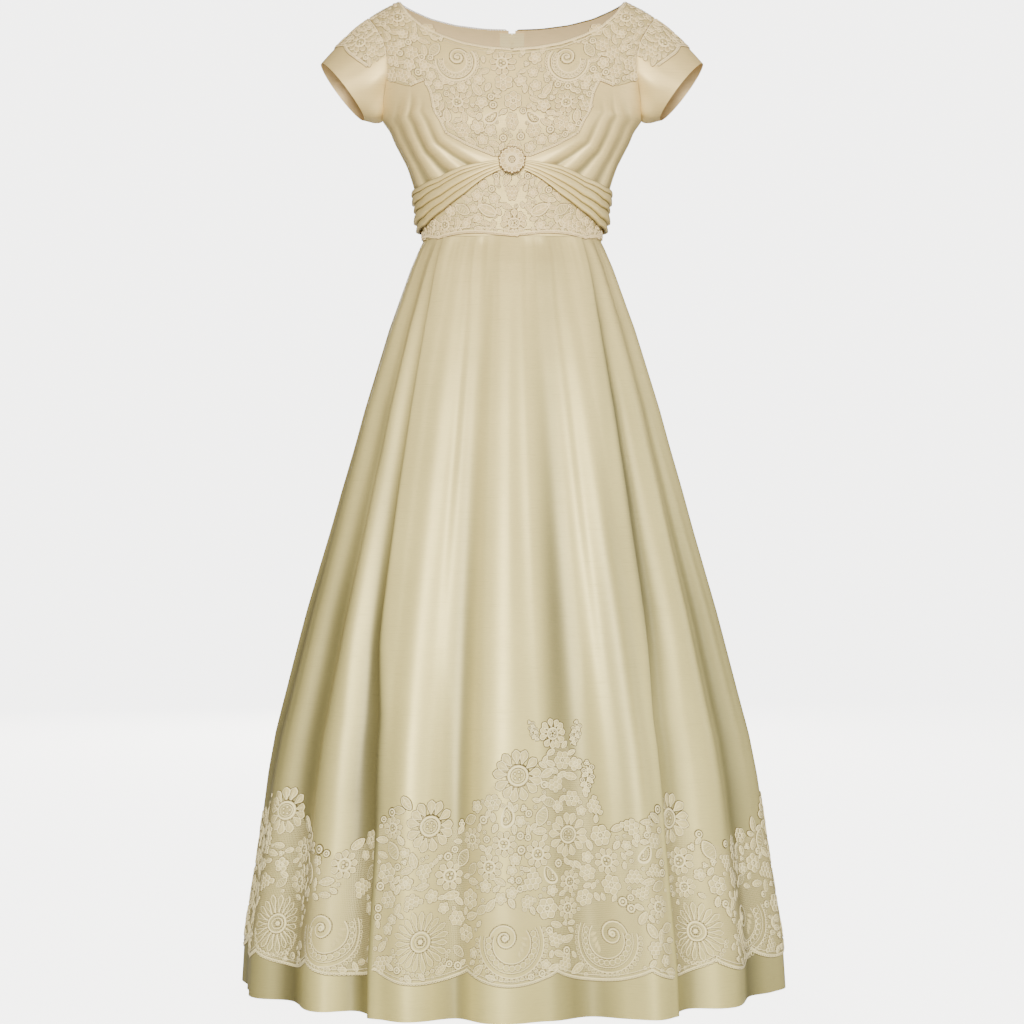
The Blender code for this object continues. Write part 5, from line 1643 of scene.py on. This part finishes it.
def yoke_inside(angle, z, room):
    """A test of a place on the yoke."""
    x = x_at(angle, z)
    if z > shoulder_line(x) - 3 - 0.5 * room or z > np.interp(x, *NECK_FRONT.T) - room - 1:
        return False
    if x < V_EDGE[-1][0]:
        return z > np.interp(x, *V_EDGE.T) + room * 0.8 + 1
    edge = float(table(ARMHOLE, z, 1)) - np.degrees(room / 150)
    return abs(angle) < edge and z > YOKE_DIP[1] + room + 2 + 0.3 * abs(x - YOKE_DIP[0])


def curve_points(curve, count, side=1):
    """A seam curve of distances and heights as fine arrays of angles and heights."""
    fine = along(in_angles(np.asarray(curve, float)), count)
    return side * fine[:, 0], fine[:, 1]


def yoke_lace():
    """Lays the lace of the yoke."""
    work = LaceWork(bodice_surface, yoke_inside, (20.0, -150.0), 5)
    for name, x, z, turn, size in YOKE_PAIRS:
        for side in (-1, 1):
            mirror = {"small_scroll_back": "small_scroll", "drop": "drop_back"}
            chosen = mirror.get(name, name) if side > 0 else name
            work.motif(chosen, float(angle_at(side * x, z)), z, side * -turn, size)
    for name, x, z, turn, size in YOKE_MIDDLE:
        work.motif(name, float(angle_at(x, z)), z, turn, size)
    work.fill(YOKE_FILLERS, (-66.0, -228.0), (66.0, -8.0))
    for side in (-1, 1):
        angles, heights = curve_points(NECK_FRONT, 90, side)
        work.edge(angles, heights - 1.6, 1.3, 1.4, True, 3.0, out=-side)
        work.edge(angles, heights - 6.5, 0.8, 1.1, False)
        angles, heights = curve_points(V_EDGE, 90, side)
        work.edge(angles, heights + 1.6, 0.9, 1.2, True, 3.4, out=side)
        angles, heights = curve_points(np.array([V_EDGE[-1], YOKE_DIP]), 30, side)
        work.edge(angles, heights + 1.4, 0.9, 1.2, True, 3.4, out=side)
    return work.finish("yoke_motifs", CORD_TOP)


yoke_lace()
net_sheet("yoke_net", bodice_surface, yoke[..., 0] * 0.999, yoke[..., 1])

# %% Back neck lace
BACK_FILLERS = (
    ("ring_flower", 60, 0.7, 0.9, 0.6), ("flower", 120, 0.7, 0.9, 0.4), ("small_flower", 240, 0.75, 1.0, 0.2),
    ("leaf", 500, 0.55, 0.8, 0.1), ("bud", 600, 0.65, 0.95, 0.2), ("small_leaf", 1800, 0.6, 0.9, -0.2),
    ("knots", 900, 0.6, 0.85, 0.0), ("knot", 1800, 0.6, 1.0, 0.1),
)


def back_inside(side):
    """A test of a place on one back, above the yoke line."""
    def inside(angle, z, room):
        x = x_at(angle, z)
        if z > shoulder_line(x) - 3 - 0.5 * room or z > np.interp(x, *NECK_BACK.T) - room - 1:
            return False
        edge = BACK_DEG - float(table(ARMHOLE, z, 1)) + np.degrees(room / 150)
        return abs(angle) > edge and x > 6 + room and z > YOKE_MM + room + 1 and angle * side > 0
    return inside


for side, word in SIDES:
    work = LaceWork(bodice_surface, back_inside(side), (side * 150.0, -70.0), 31 + side)
    for name, x, z, turn, size in (("ring_flower", 157, -31, 0, 0.95), ("small_scroll", 90, -62, 0, 1.1),
                                   ("ring_flower", 34, -76, 0, 1.0), ("flower", 128, -88, 0, 1.0)):
        work.motif(name, side * (BACK_DEG - float(angle_at(x, z))), z, turn, size)
    low, high = sorted((side * 115.0, side * 179.0))
    work.fill(BACK_FILLERS, (low, YOKE_MM), (high, -8.0))
    angles, heights = curve_points(NECK_BACK[NECK_BACK[:, 0] >= 0], 90)
    keep = form_point(BACK_DEG - angles, heights)[:, 0] > 5.5
    angles, heights = side * (BACK_DEG - angles[keep]), heights[keep]
    work.edge(angles, heights - 1.6, 2.0, 1.5, True, 3.0, out=side)
    edge_angles = side * np.linspace(BACK_DEG - 2.2, BACK_DEG - float(table(ARMHOLE, YOKE_MM, 1)) + 1.5, 90)
    wave = YOKE_MM + 3.0 + 3.0 * np.abs(np.sin(np.radians(edge_angles * 8)))
    work.edge(edge_angles, wave, 1.8, 1.5, True, 3.4, out=-side)
    work.finish("back_motifs_" + word, CORD_TOP)
    grid = back_grid(side)[39:]
    net_sheet("back_net_" + word, bodice_surface, grid[..., 0], grid[..., 1])

# %% [markdown]
# ### Lace of the sleeves
#
# The lace covers the top of each sleeve like a small cape. Its surface is the sleeve's own grid,
# read between its points: one measure is the turn round the sleeve, the other runs to the cuff.

# %% Sleeve lace
SLEEVE_REACH_DEG = 82.0
SLEEVE_LACE_SHARE = 0.66


def sleeve_surface(side):
    """A surface over one sleeve: turns in degrees, and tenths of a degree's length to the cuff."""
    points, ways, turns = SLEEVES[side]
    order = np.argsort(turn_between(turns, 0))
    at = turn_between(turns, 0)[order]

    def surface(turn, down, h):
        rows = np.clip(down / 100.0, 0, 1) * (len(points) - 1)
        low = np.clip(np.floor(rows).astype(int), 0, len(points) - 2)
        part = (rows - low)[..., None]
        column = np.interp(side * turn, at, np.arange(len(at)))
        left = np.clip(np.floor(column).astype(int), 0, len(at) - 2)
        share = (column - left)[..., None]

        def read(grid):
            near = grid[low, order[left]] * (1 - share) + grid[low, order[left + 1]] * share
            far = grid[low + 1, order[left]] * (1 - share) + grid[low + 1, order[left + 1]] * share
            return near * (1 - part) + far * part

        return read(points) + (YOKE_LIFT_MM + np.asarray(h))[..., None] * read(ways)
    return surface


def sleeve_edge(turn):
    """How far down the sleeve the lace reaches, from 0 to 100."""
    wave = 8 * np.abs(np.cos(np.radians(turn * 3.2)))
    return (SLEEVE_LACE_SHARE * 100 - 8 + wave) * (1 - 0.30 * (np.abs(turn) / SLEEVE_REACH_DEG) ** 2)


def sleeve_inside(turn, down, room):
    """A test of a place on a sleeve."""
    if abs(turn) > SLEEVE_REACH_DEG - room * 0.9:
        return False
    return 2 + room * 1.1 < down < float(sleeve_edge(np.array(turn))) - room * 1.1


for side, word in SIDES:
    surface = sleeve_surface(side)
    work = LaceWork(surface, sleeve_inside, (0.0, 30.0), 51 + side)
    for name, turn, down, size in (("ring_flower", 45, 36, 0.9), ("flower", 4, 26, 0.9), ("ring_flower", -40, 34, 0.9),
                                   ("flower", 66, 24, 0.75), ("small_flower", 24, 46, 1.0),
                                   ("small_flower", -14, 48, 1.0), ("flower", -66, 22, 0.75)):
        work.motif(name, side * turn, down, 0, size)
    work.fill((("small_flower", 160, 0.7, 1.0, 0.2), ("leaf", 300, 0.5, 0.8, 0.1), ("bud", 500, 0.65, 1.0, 0.2),
               ("small_leaf", 900, 0.6, 0.9, -0.2), ("knots", 500, 0.6, 0.85, 0.0), ("knot", 900, 0.6, 1.0, 0.1)),
              (-SLEEVE_REACH_DEG, 0.0), (SLEEVE_REACH_DEG, 80.0))
    turns = np.linspace(-SLEEVE_REACH_DEG, SLEEVE_REACH_DEG, 120)
    work.edge(turns, sleeve_edge(turns), 1.5, 1.4, True, 3.2, out=-1)
    work.edge(turns, 2.5 + 0 * turns, 1.3, 1.2, False)
    work.finish("sleeve_motifs_" + word, CORD_TOP)
    turn_grid = np.tile(np.linspace(-SLEEVE_REACH_DEG, SLEEVE_REACH_DEG, 40), (14, 1))
    net_sheet("sleeve_net_" + word, surface, turn_grid, sleeve_edge(turn_grid) * np.linspace(0.02, 0.98, 14)[:, None])

# %% [markdown]
# ### Lace of the midriff, and the rosette
#
# Below the sash the midriff has its own lace, with a ring flower in the middle and a scalloped
# edge that hangs over the waist. The rosette hides where the two halves of the sash meet.

# %% Midriff lace
MIDRIFF_SCALLOPS = 3.5
MIDRIFF_MOTIFS = (
    ("small_daisy", 1, -320, 0, 0.95), ("leaf", -13, -302, 62, 1.25), ("leaf", 15, -301, -62, 1.25),
    ("scales", 0, -280, 0, 1.0), ("ring_flower", -44, -320, 0, 0.75), ("flower", 40, -322, 0, 0.85),
    ("net_leaf", -29, -300, 60, 0.8), ("net_leaf", 29, -300, -60, 0.8), ("flower", -62, -328, 0, 0.55),
    ("small_flower", 56, -326, 0, 0.9), ("small_flower", 72, -330, 0, 0.75), ("small_flower", -74, -331, 0, 0.75),
    ("small_flower", 84, -330, 0, 0.7), ("small_flower", -84, -330, 0, 0.7), ("bud", 7, -256, 0, 0.8),
    ("bud", -7, -256, 0, 0.8),
)


def midriff_bottom(angle):
    """Height of the midriff lace's scalloped edge."""
    return WAIST_MM + 0.8 + 5.5 * np.abs(np.sin(np.radians(angle * MIDRIFF_SCALLOPS)))


def midriff_lace_top(angle):
    """Height where the sash covers the midriff lace."""
    return np.maximum(table(SASH, np.abs(angle), 2) - 1.0, midriff_bottom(angle) + 2.0)


def midriff_inside(angle, z, room):
    """A test of a place on the midriff."""
    return abs(angle) < 86 and midriff_bottom(angle) + room < z < midriff_lace_top(angle) - room * 0.5


work = LaceWork(bodice_surface, midriff_inside, (20.0, -310.0), 71)
for name, angle, z, turn, size in MIDRIFF_MOTIFS:
    work.motif(name, angle, z, turn, size)
work.fill((("small_flower", 200, 0.7, 1.0, 0.2), ("leaf", 400, 0.5, 0.8, 0.1), ("bud", 600, 0.6, 0.95, 0.2),
           ("small_leaf", 1500, 0.6, 0.9, -0.2), ("knots", 700, 0.6, 0.85, 0.0), ("knot", 1500, 0.6, 1.0, 0.1)),
          (-86.0, WAIST_MM), (86.0, -250.0))
edge_angles = np.linspace(-86, 86, 260)
work.edge(edge_angles, midriff_bottom(edge_angles) + 1.2, 1.4, 1.5, True, 3.4)
work.edge(edge_angles, midriff_bottom(edge_angles) + 6.0, 0.8, 1.2, False)
work.finish("midriff_motifs", CORD_TOP)
angle_grid = np.tile(np.linspace(-86, 86, 110), (14, 1))
shares = np.linspace(0, 1, 14)[:, None]
net_heights = midriff_bottom(angle_grid) + (midriff_lace_top(angle_grid) - midriff_bottom(angle_grid)) * shares
net_sheet("midriff_net", bodice_surface, angle_grid, net_heights)

# %% Rosette
ROSETTE_MM = -236.0
ROSETTE_LIFT_MM = 9.0
ROSETTE_RADIUS_MM = 15.5


def rosette_surface(u, v, h):
    """A shallow dome in front of the meeting point of the sash, in mm across and up."""
    middle = form_point(0.0, ROSETTE_MM)
    dome = 4.0 * np.clip(1 - (u ** 2 + v ** 2) / ROSETTE_RADIUS_MM ** 2, 0, 1)
    return np.stack([middle[0] + u, middle[1] - ROSETTE_LIFT_MM - dome - h, middle[2] + v + 0 * h], -1)


def rosette():
    """The lace rosette: two rings of round petals and a thick ring with a netted middle."""
    parts = []
    for k in range(11):
        outer = together([petal(7.6, 2.9, 1.0, 8.6), cord(petal_line(7.9, 3.1, 8.4), 1.3, 1.5)])
        parts.append(turned(outer, k * 360 / 11))
        parts.append(turned(bead(1.5, (0, 16.6), 1.4), (k + 0.5) * 360 / 11))
    parts.append(cord(ring_line(6.8, 18), 3.4, 2.6))
    parts.append(cord(ring_line(9.2, 22), 1.2, 1.8))
    for k in range(6):
        parts.append(bead(1.2, (3.0 * math.cos(k * 1.047), 3.0 * math.sin(k * 1.047)), 1.4))
    parts.append(bead(1.3, height=1.6))
    return together(parts)


work = LaceWork(rosette_surface, None, (0.0, 0.0), 1)
work.lay(*rosette(), 0.0, 0.0)
work.finish("rosette_petals", CORD_TOP)
disc_turns = np.radians(np.linspace(0, 360, 40))[None]
disc_radii = np.linspace(1.0, ROSETTE_RADIUS_MM, 8)[:, None]
disc_u, disc_v = disc_radii * np.sin(disc_turns), disc_radii * np.cos(disc_turns)
disc_outer = rosette_surface(disc_u, disc_v, 0.0)
cloth("rosette_ground", *facing_out(disc_outer, disc_outer + (0, 0.5, 0)), (SATIN, LINING))

# %% [markdown]
# ## The zip
#
# A lightweight coil zip closes the centre back, from the neck to below the waist. The two woven
# tapes are sewn behind the opening, and a nylon coil of 1.3 mm pitch runs along each edge. The
# coil is drawn at 2.2 mm, because finer teeth would not show. The painted slider and its pull tab
# are hard, so their solids stay and get an enamel finish.

# %% Tapes and coil
ZIP_END_MM = -520.0
TAPE_WIDTH_MM = 13.0
TAPE_INNER_MM = 0.2
TAPE_WALL_MM = 0.8
TAPE_GAP_MM = 0.9
TOOTH_STEP_MM = 2.2
TAPE_CLOTH_MM = 1.5


def woven_tape(name, hex_code):
    """Woven polyester tape with a fine rib across it."""
    made, tree, shader = new_material(name)
    weave = add_node(tree, "ShaderNodeUVMap", uv_map="weave")
    ribs = add_node(tree, "ShaderNodeTexWave", {"Vector": weave.outputs["UV"], "Scale": 160.0}, bands_direction="Y")
    tone = add_node(tree, "ShaderNodeMapRange", {"Value": ribs.outputs["Fac"], "To Min": 0.88, "To Max": 1.06})
    painted = add_node(tree, "ShaderNodeVectorMath", {0: linear(hex_code)[:3]}, operation="SCALE")
    tree.links.new(tone.outputs["Result"], painted.inputs["Scale"])
    tree.links.new(painted.outputs["Vector"], shader.inputs["Base Color"])
    bumps = add_node(tree, "ShaderNodeBump", {"Height": ribs.outputs["Fac"], "Strength": 0.4, "Distance": 0.0003})
    tree.links.new(bumps.outputs["Normal"], shader.inputs["Normal"])
    shader.inputs["Roughness"].default_value = 0.8
    return made


TAPE = woven_tape("woven polyester zip tape", "#D8C896")


def tape_surface(x, z, h):
    """Points behind the centre back opening, x mm from its middle."""
    angles = BACK_DEG - angle_at(x, z)
    points, normals = on_form(angles, z + 0 * angles)
    return points + (np.asarray(h) - TAPE_CLOTH_MM - TAPE_GAP_MM)[..., None] * normals


tape_heights = np.linspace(ZIP_END_MM, -31.0, 120)[:, None]
for side, word in SIDES:
    tape_edge = table(ZIP_OPENING, tape_heights, 1) + TAPE_WIDTH_MM
    across = TAPE_INNER_MM + (tape_edge - TAPE_INNER_MM) * np.linspace(0, 1, 6)[None]
    across = side * across
    outer = tape_surface(across, tape_heights + 0 * across, 0.0 * across)
    inner = tape_surface(across, tape_heights + 0 * across, -TAPE_WALL_MM + 0 * across)
    cloth("zip_tape_cloth_" + word, *facing_out(outer, inner), (TAPE,))

teeth = []
for z in np.arange(ZIP_END_MM + 4, -38.0, TOOTH_STEP_MM):
    for side in (-1, 1):
        shift = 0.5 * TOOTH_STEP_MM * (side > 0)
        line = [(side * 2.6, z + shift), (side * 0.9, z + shift + 0.3), (-side * 0.5, z + shift + 0.5)]
        teeth.append(cord(line, 0.75, 0.8, closed=False))
tooth_points, tooth_quads = together(teeth)
laid = tape_surface(tooth_points[:, 0], tooth_points[:, 1], tooth_points[:, 2] + 0.1)
# The coil's teeth get the same painted shadow at their foot and painted highlight on top.
coil_material = cotton_cord("ivory nylon coil", "#A8966A", "#D6C79A", "#E8DBB4")
coil = add_piece("zip_coil", laid, tooth_quads[:, ::-1], (coil_material,), shade=tooth_points[:, 3])
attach(coil, "dress")
print("zip teeth:", len(teeth))

# %% [markdown]
# The slider and pull are die-cast zinc under ivory enamel paint. Enamel is smooth and a little
# glossy, so its roughness is 0.3 under a clear coat, and the paint wears thin in small patches.

# %% Enamelled metal
def enamelled_zinc(name, hex_code, worn):
    """Die-cast zinc with a thin ivory enamel that is a little worn."""
    made, tree, shader = new_material(name)
    place = add_node(tree, "ShaderNodeTexCoord")
    patches = add_node(tree, "ShaderNodeTexNoise", {"Vector": place.outputs["Object"], "Scale": 1400.0, "Detail": 3.0})
    mask = add_node(tree, "ShaderNodeValToRGB", {"Fac": patches.outputs["Fac"]})
    set_ramp(mask, [(0.62, hex_code), (0.70, worn)])
    tree.links.new(mask.outputs["Color"], shader.inputs["Base Color"])
    bumps = add_node(tree, "ShaderNodeBump", {"Height": patches.outputs["Fac"], "Strength": 0.1, "Distance": 0.0002})
    tree.links.new(bumps.outputs["Normal"], shader.inputs["Normal"])
    shader.inputs["Roughness"].default_value = 0.3
    shader.inputs["Coat Weight"].default_value = 0.5
    shader.inputs["Coat Roughness"].default_value = 0.15
    return made


ENAMEL = enamelled_zinc("ivory enamelled zinc", "#DCCB98", "#B9A877")
for name in ("zip_slider", "zip_pull"):
    node_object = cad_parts[name]
    node_object.data.materials.clear()
    node_object.data.materials.append(ENAMEL)

# %% [markdown]
# ## What each piece stands for
#
# Every piece rides on the dress and stands for one node of the frame, whose own solid is hidden.

# %% Satin pieces and their nodes
# Columns: piece, node, how the cloth is held, what it hangs from.
SATIN_PIECES = (
    ("satin_yoke", "front_yoke", "stretched", "satin_back_left"),
    ("satin_side_front_left", "side_front_left", "gathered", "satin_yoke"),
    ("satin_side_front_right", "side_front_right", "gathered", "satin_yoke"),
    ("satin_midriff", "midriff_front", "stretched", "satin_side_front_left"),
    ("satin_back_left", "back_left", "stretched", "satin_yoke"),
    ("satin_back_right", "back_right", "stretched", "satin_yoke"),
    ("satin_sleeve_left", "sleeve_left", "draped", "satin_yoke"),
    ("satin_sleeve_right", "sleeve_right", "draped", "satin_yoke"),
    ("satin_sash_left", "sash_left", "folded", "satin_midriff"),
    ("satin_sash_right", "sash_right", "folded", "satin_midriff"),
    ("satin_skirt_front", "skirt_front", "hung", "satin_midriff"),
    ("satin_skirt_side_left", "skirt_side_left", "hung", "satin_midriff"),
    ("satin_skirt_side_right", "skirt_side_right", "hung", "satin_midriff"),
    ("satin_skirt_back_left", "skirt_back_left", "hung", "satin_back_left"),
    ("satin_skirt_back_right", "skirt_back_right", "hung", "satin_back_right"),
)


def declare_sheet(name, node):
    """Hangs a cloth piece on the dress and hides the node of the frame that it stands for."""
    piece = bpy.data.objects[name]
    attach(piece, "dress")
    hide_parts(node)


for piece_name, node, held, rests_on in SATIN_PIECES:
    declare_sheet(piece_name, node)

# %% Lace pieces, tapes and their nodes
# Columns: piece, node, slot, how it is held, what it lies on, motifs on it.
LACE_PIECES = (
    ("hem_net_front", "lace_hem_front", "lace", "laid", "satin_skirt_front", "hem_motifs_front"),
    ("hem_net_left", "lace_hem_left", "lace", "laid", "satin_skirt_side_left", "hem_motifs_left"),
    ("hem_net_right", "lace_hem_right", "lace", "laid", "satin_skirt_side_right", "hem_motifs_right"),
    ("yoke_net", "lace_yoke", "lace", "laid", "satin_yoke", "yoke_motifs"),
    ("back_net_left", "lace_back_left", "lace", "laid", "satin_back_left", "back_motifs_left"),
    ("back_net_right", "lace_back_right", "lace", "laid", "satin_back_right", "back_motifs_right"),
    ("sleeve_net_left", "lace_sleeve_left", "lace", "laid", "satin_sleeve_left", "sleeve_motifs_left"),
    ("sleeve_net_right", "lace_sleeve_right", "lace", "laid", "satin_sleeve_right", "sleeve_motifs_right"),
    ("midriff_net", "lace_midriff", "lace", "laid", "satin_midriff", "midriff_motifs"),
    ("rosette_ground", "sash_rosette", "lace", "stretched", "satin_sash_left", "rosette_petals"),
    ("zip_tape_cloth_left", "zip_tape_left", "tape", "stretched", "satin_back_left", "zip_coil"),
    ("zip_tape_cloth_right", "zip_tape_right", "tape", "stretched", "satin_back_right", ""),
)
for piece_name, node, slot, held, rests_on, motifs in LACE_PIECES:
    declare_sheet(piece_name, node)

# %% [markdown]
# ## Floor, light and camera
#
# The dress hangs over a plain pale floor that curves up all round into a pale backdrop, so that
# the camera may walk round it. Satin shows its folds only where part of what it mirrors is dim, and
# a bright backdrop would wash them out. A photographer lights the backdrop apart from the dress;
# here the paper glows for the camera alone and sends little light back.

# %% Floor and backdrop
FLOOR_M = HEM_MM * MM - 0.002
FLOOR_RADIUS_M = 8.0
CORNER_M = 3.0
BACKDROP_HEIGHT_M = 7.0
BACKDROP_GLOW = 5.0


def pale_paper():
    """Matte paper that looks evenly lit and lights the dress only a little."""
    made, tree, shader = new_material("pale matte paper")
    shader.inputs["Base Color"].default_value = linear("#B9B8B6")
    shader.inputs["Roughness"].default_value = 0.95
    shader.inputs["Specular IOR Level"].default_value = 0.1
    seen = add_node(tree, "ShaderNodeLightPath")
    glow = add_node(tree, "ShaderNodeMath", {0: seen.outputs["Is Camera Ray"], 1: BACKDROP_GLOW}, operation="MULTIPLY")
    shader.inputs["Emission Color"].default_value = linear("#FBFAF8")
    tree.links.new(glow.outputs["Value"], shader.inputs["Emission Strength"])
    return made


def make_backdrop():
    """A round floor that curves up into a wall."""
    turns = np.radians(np.linspace(0, 90, 10))
    profile = [(0.02, FLOOR_M)]
    profile += [(FLOOR_RADIUS_M + CORNER_M * math.sin(t), FLOOR_M + CORNER_M * (1 - math.cos(t))) for t in turns]
    profile.append((FLOOR_RADIUS_M + CORNER_M, BACKDROP_HEIGHT_M))
    round_it = np.radians(np.arange(0, 360, 6))
    points = np.array([[(r * math.cos(t), r * math.sin(t), z) for t in round_it] for r, z in profile]) / MM
    quads = grid_quads(len(profile), len(round_it), closed=True)
    add_piece("backdrop", points.reshape(-1, 3), quads, (pale_paper(),))


make_backdrop()

# %% Lamps
# Columns: name, place in m, aimed at in m, size in m, power in W, colour.
LAMPS = (
    ("key", (-0.1, -4.3, 0.25), (0, 0, -0.68), 1.0, 415, "#FFFAF0"),
    ("fill", (1.8, -3.8, -0.3), (0, 0, -0.7), 1.6, 24, "#FBFBFF"),
    ("side", (4.2, -0.3, 0.3), (0, 0, -0.7), 1.6, 60, "#FFFFFF"),
    ("back", (-0.5, 4.4, 0.4), (0, 0, -0.68), 1.4, 200, "#FFFAF0"),
    ("top", (0.2, 0.4, 2.4), (0, 0, -0.5), 1.6, 22, "#FFFFFF"),
)


def add_lamp(name, place, aim, size, power, colour):
    """A large soft area lamp aimed at a point."""
    light = bpy.data.lights.new(name, "AREA")
    light.size = size
    light.energy = power
    light.color = linear(colour)[:3]
    lamp = bpy.data.objects.new(name, light)
    lamp.location = place
    way = np.array(aim) - np.array(place)
    lamp.rotation_euler = (
        math.atan2(math.hypot(way[0], way[1]), -way[2]), 0, math.atan2(way[1], way[0]) - math.pi / 2,
    )
    bpy.context.scene.collection.objects.link(lamp)


for lamp in LAMPS:
    add_lamp(*lamp)
world = bpy.data.worlds.new("pale studio")
world.use_nodes = True
world.node_tree.nodes["Background"].inputs["Color"].default_value = linear("#F4F5F8")
world.node_tree.nodes["Background"].inputs["Strength"].default_value = 0.2
bpy.context.scene.world = world

# %% Camera
camera_data = bpy.data.cameras.new("camera")
camera_data.lens = 86.6
camera_data.sensor_width = 36.0
camera = bpy.data.objects.new("camera", camera_data)
camera.location = (0, -3.45, -0.714)
camera.rotation_euler = (math.pi / 2, 0, 0)
bpy.context.scene.collection.objects.link(camera)
bpy.context.scene.camera = camera
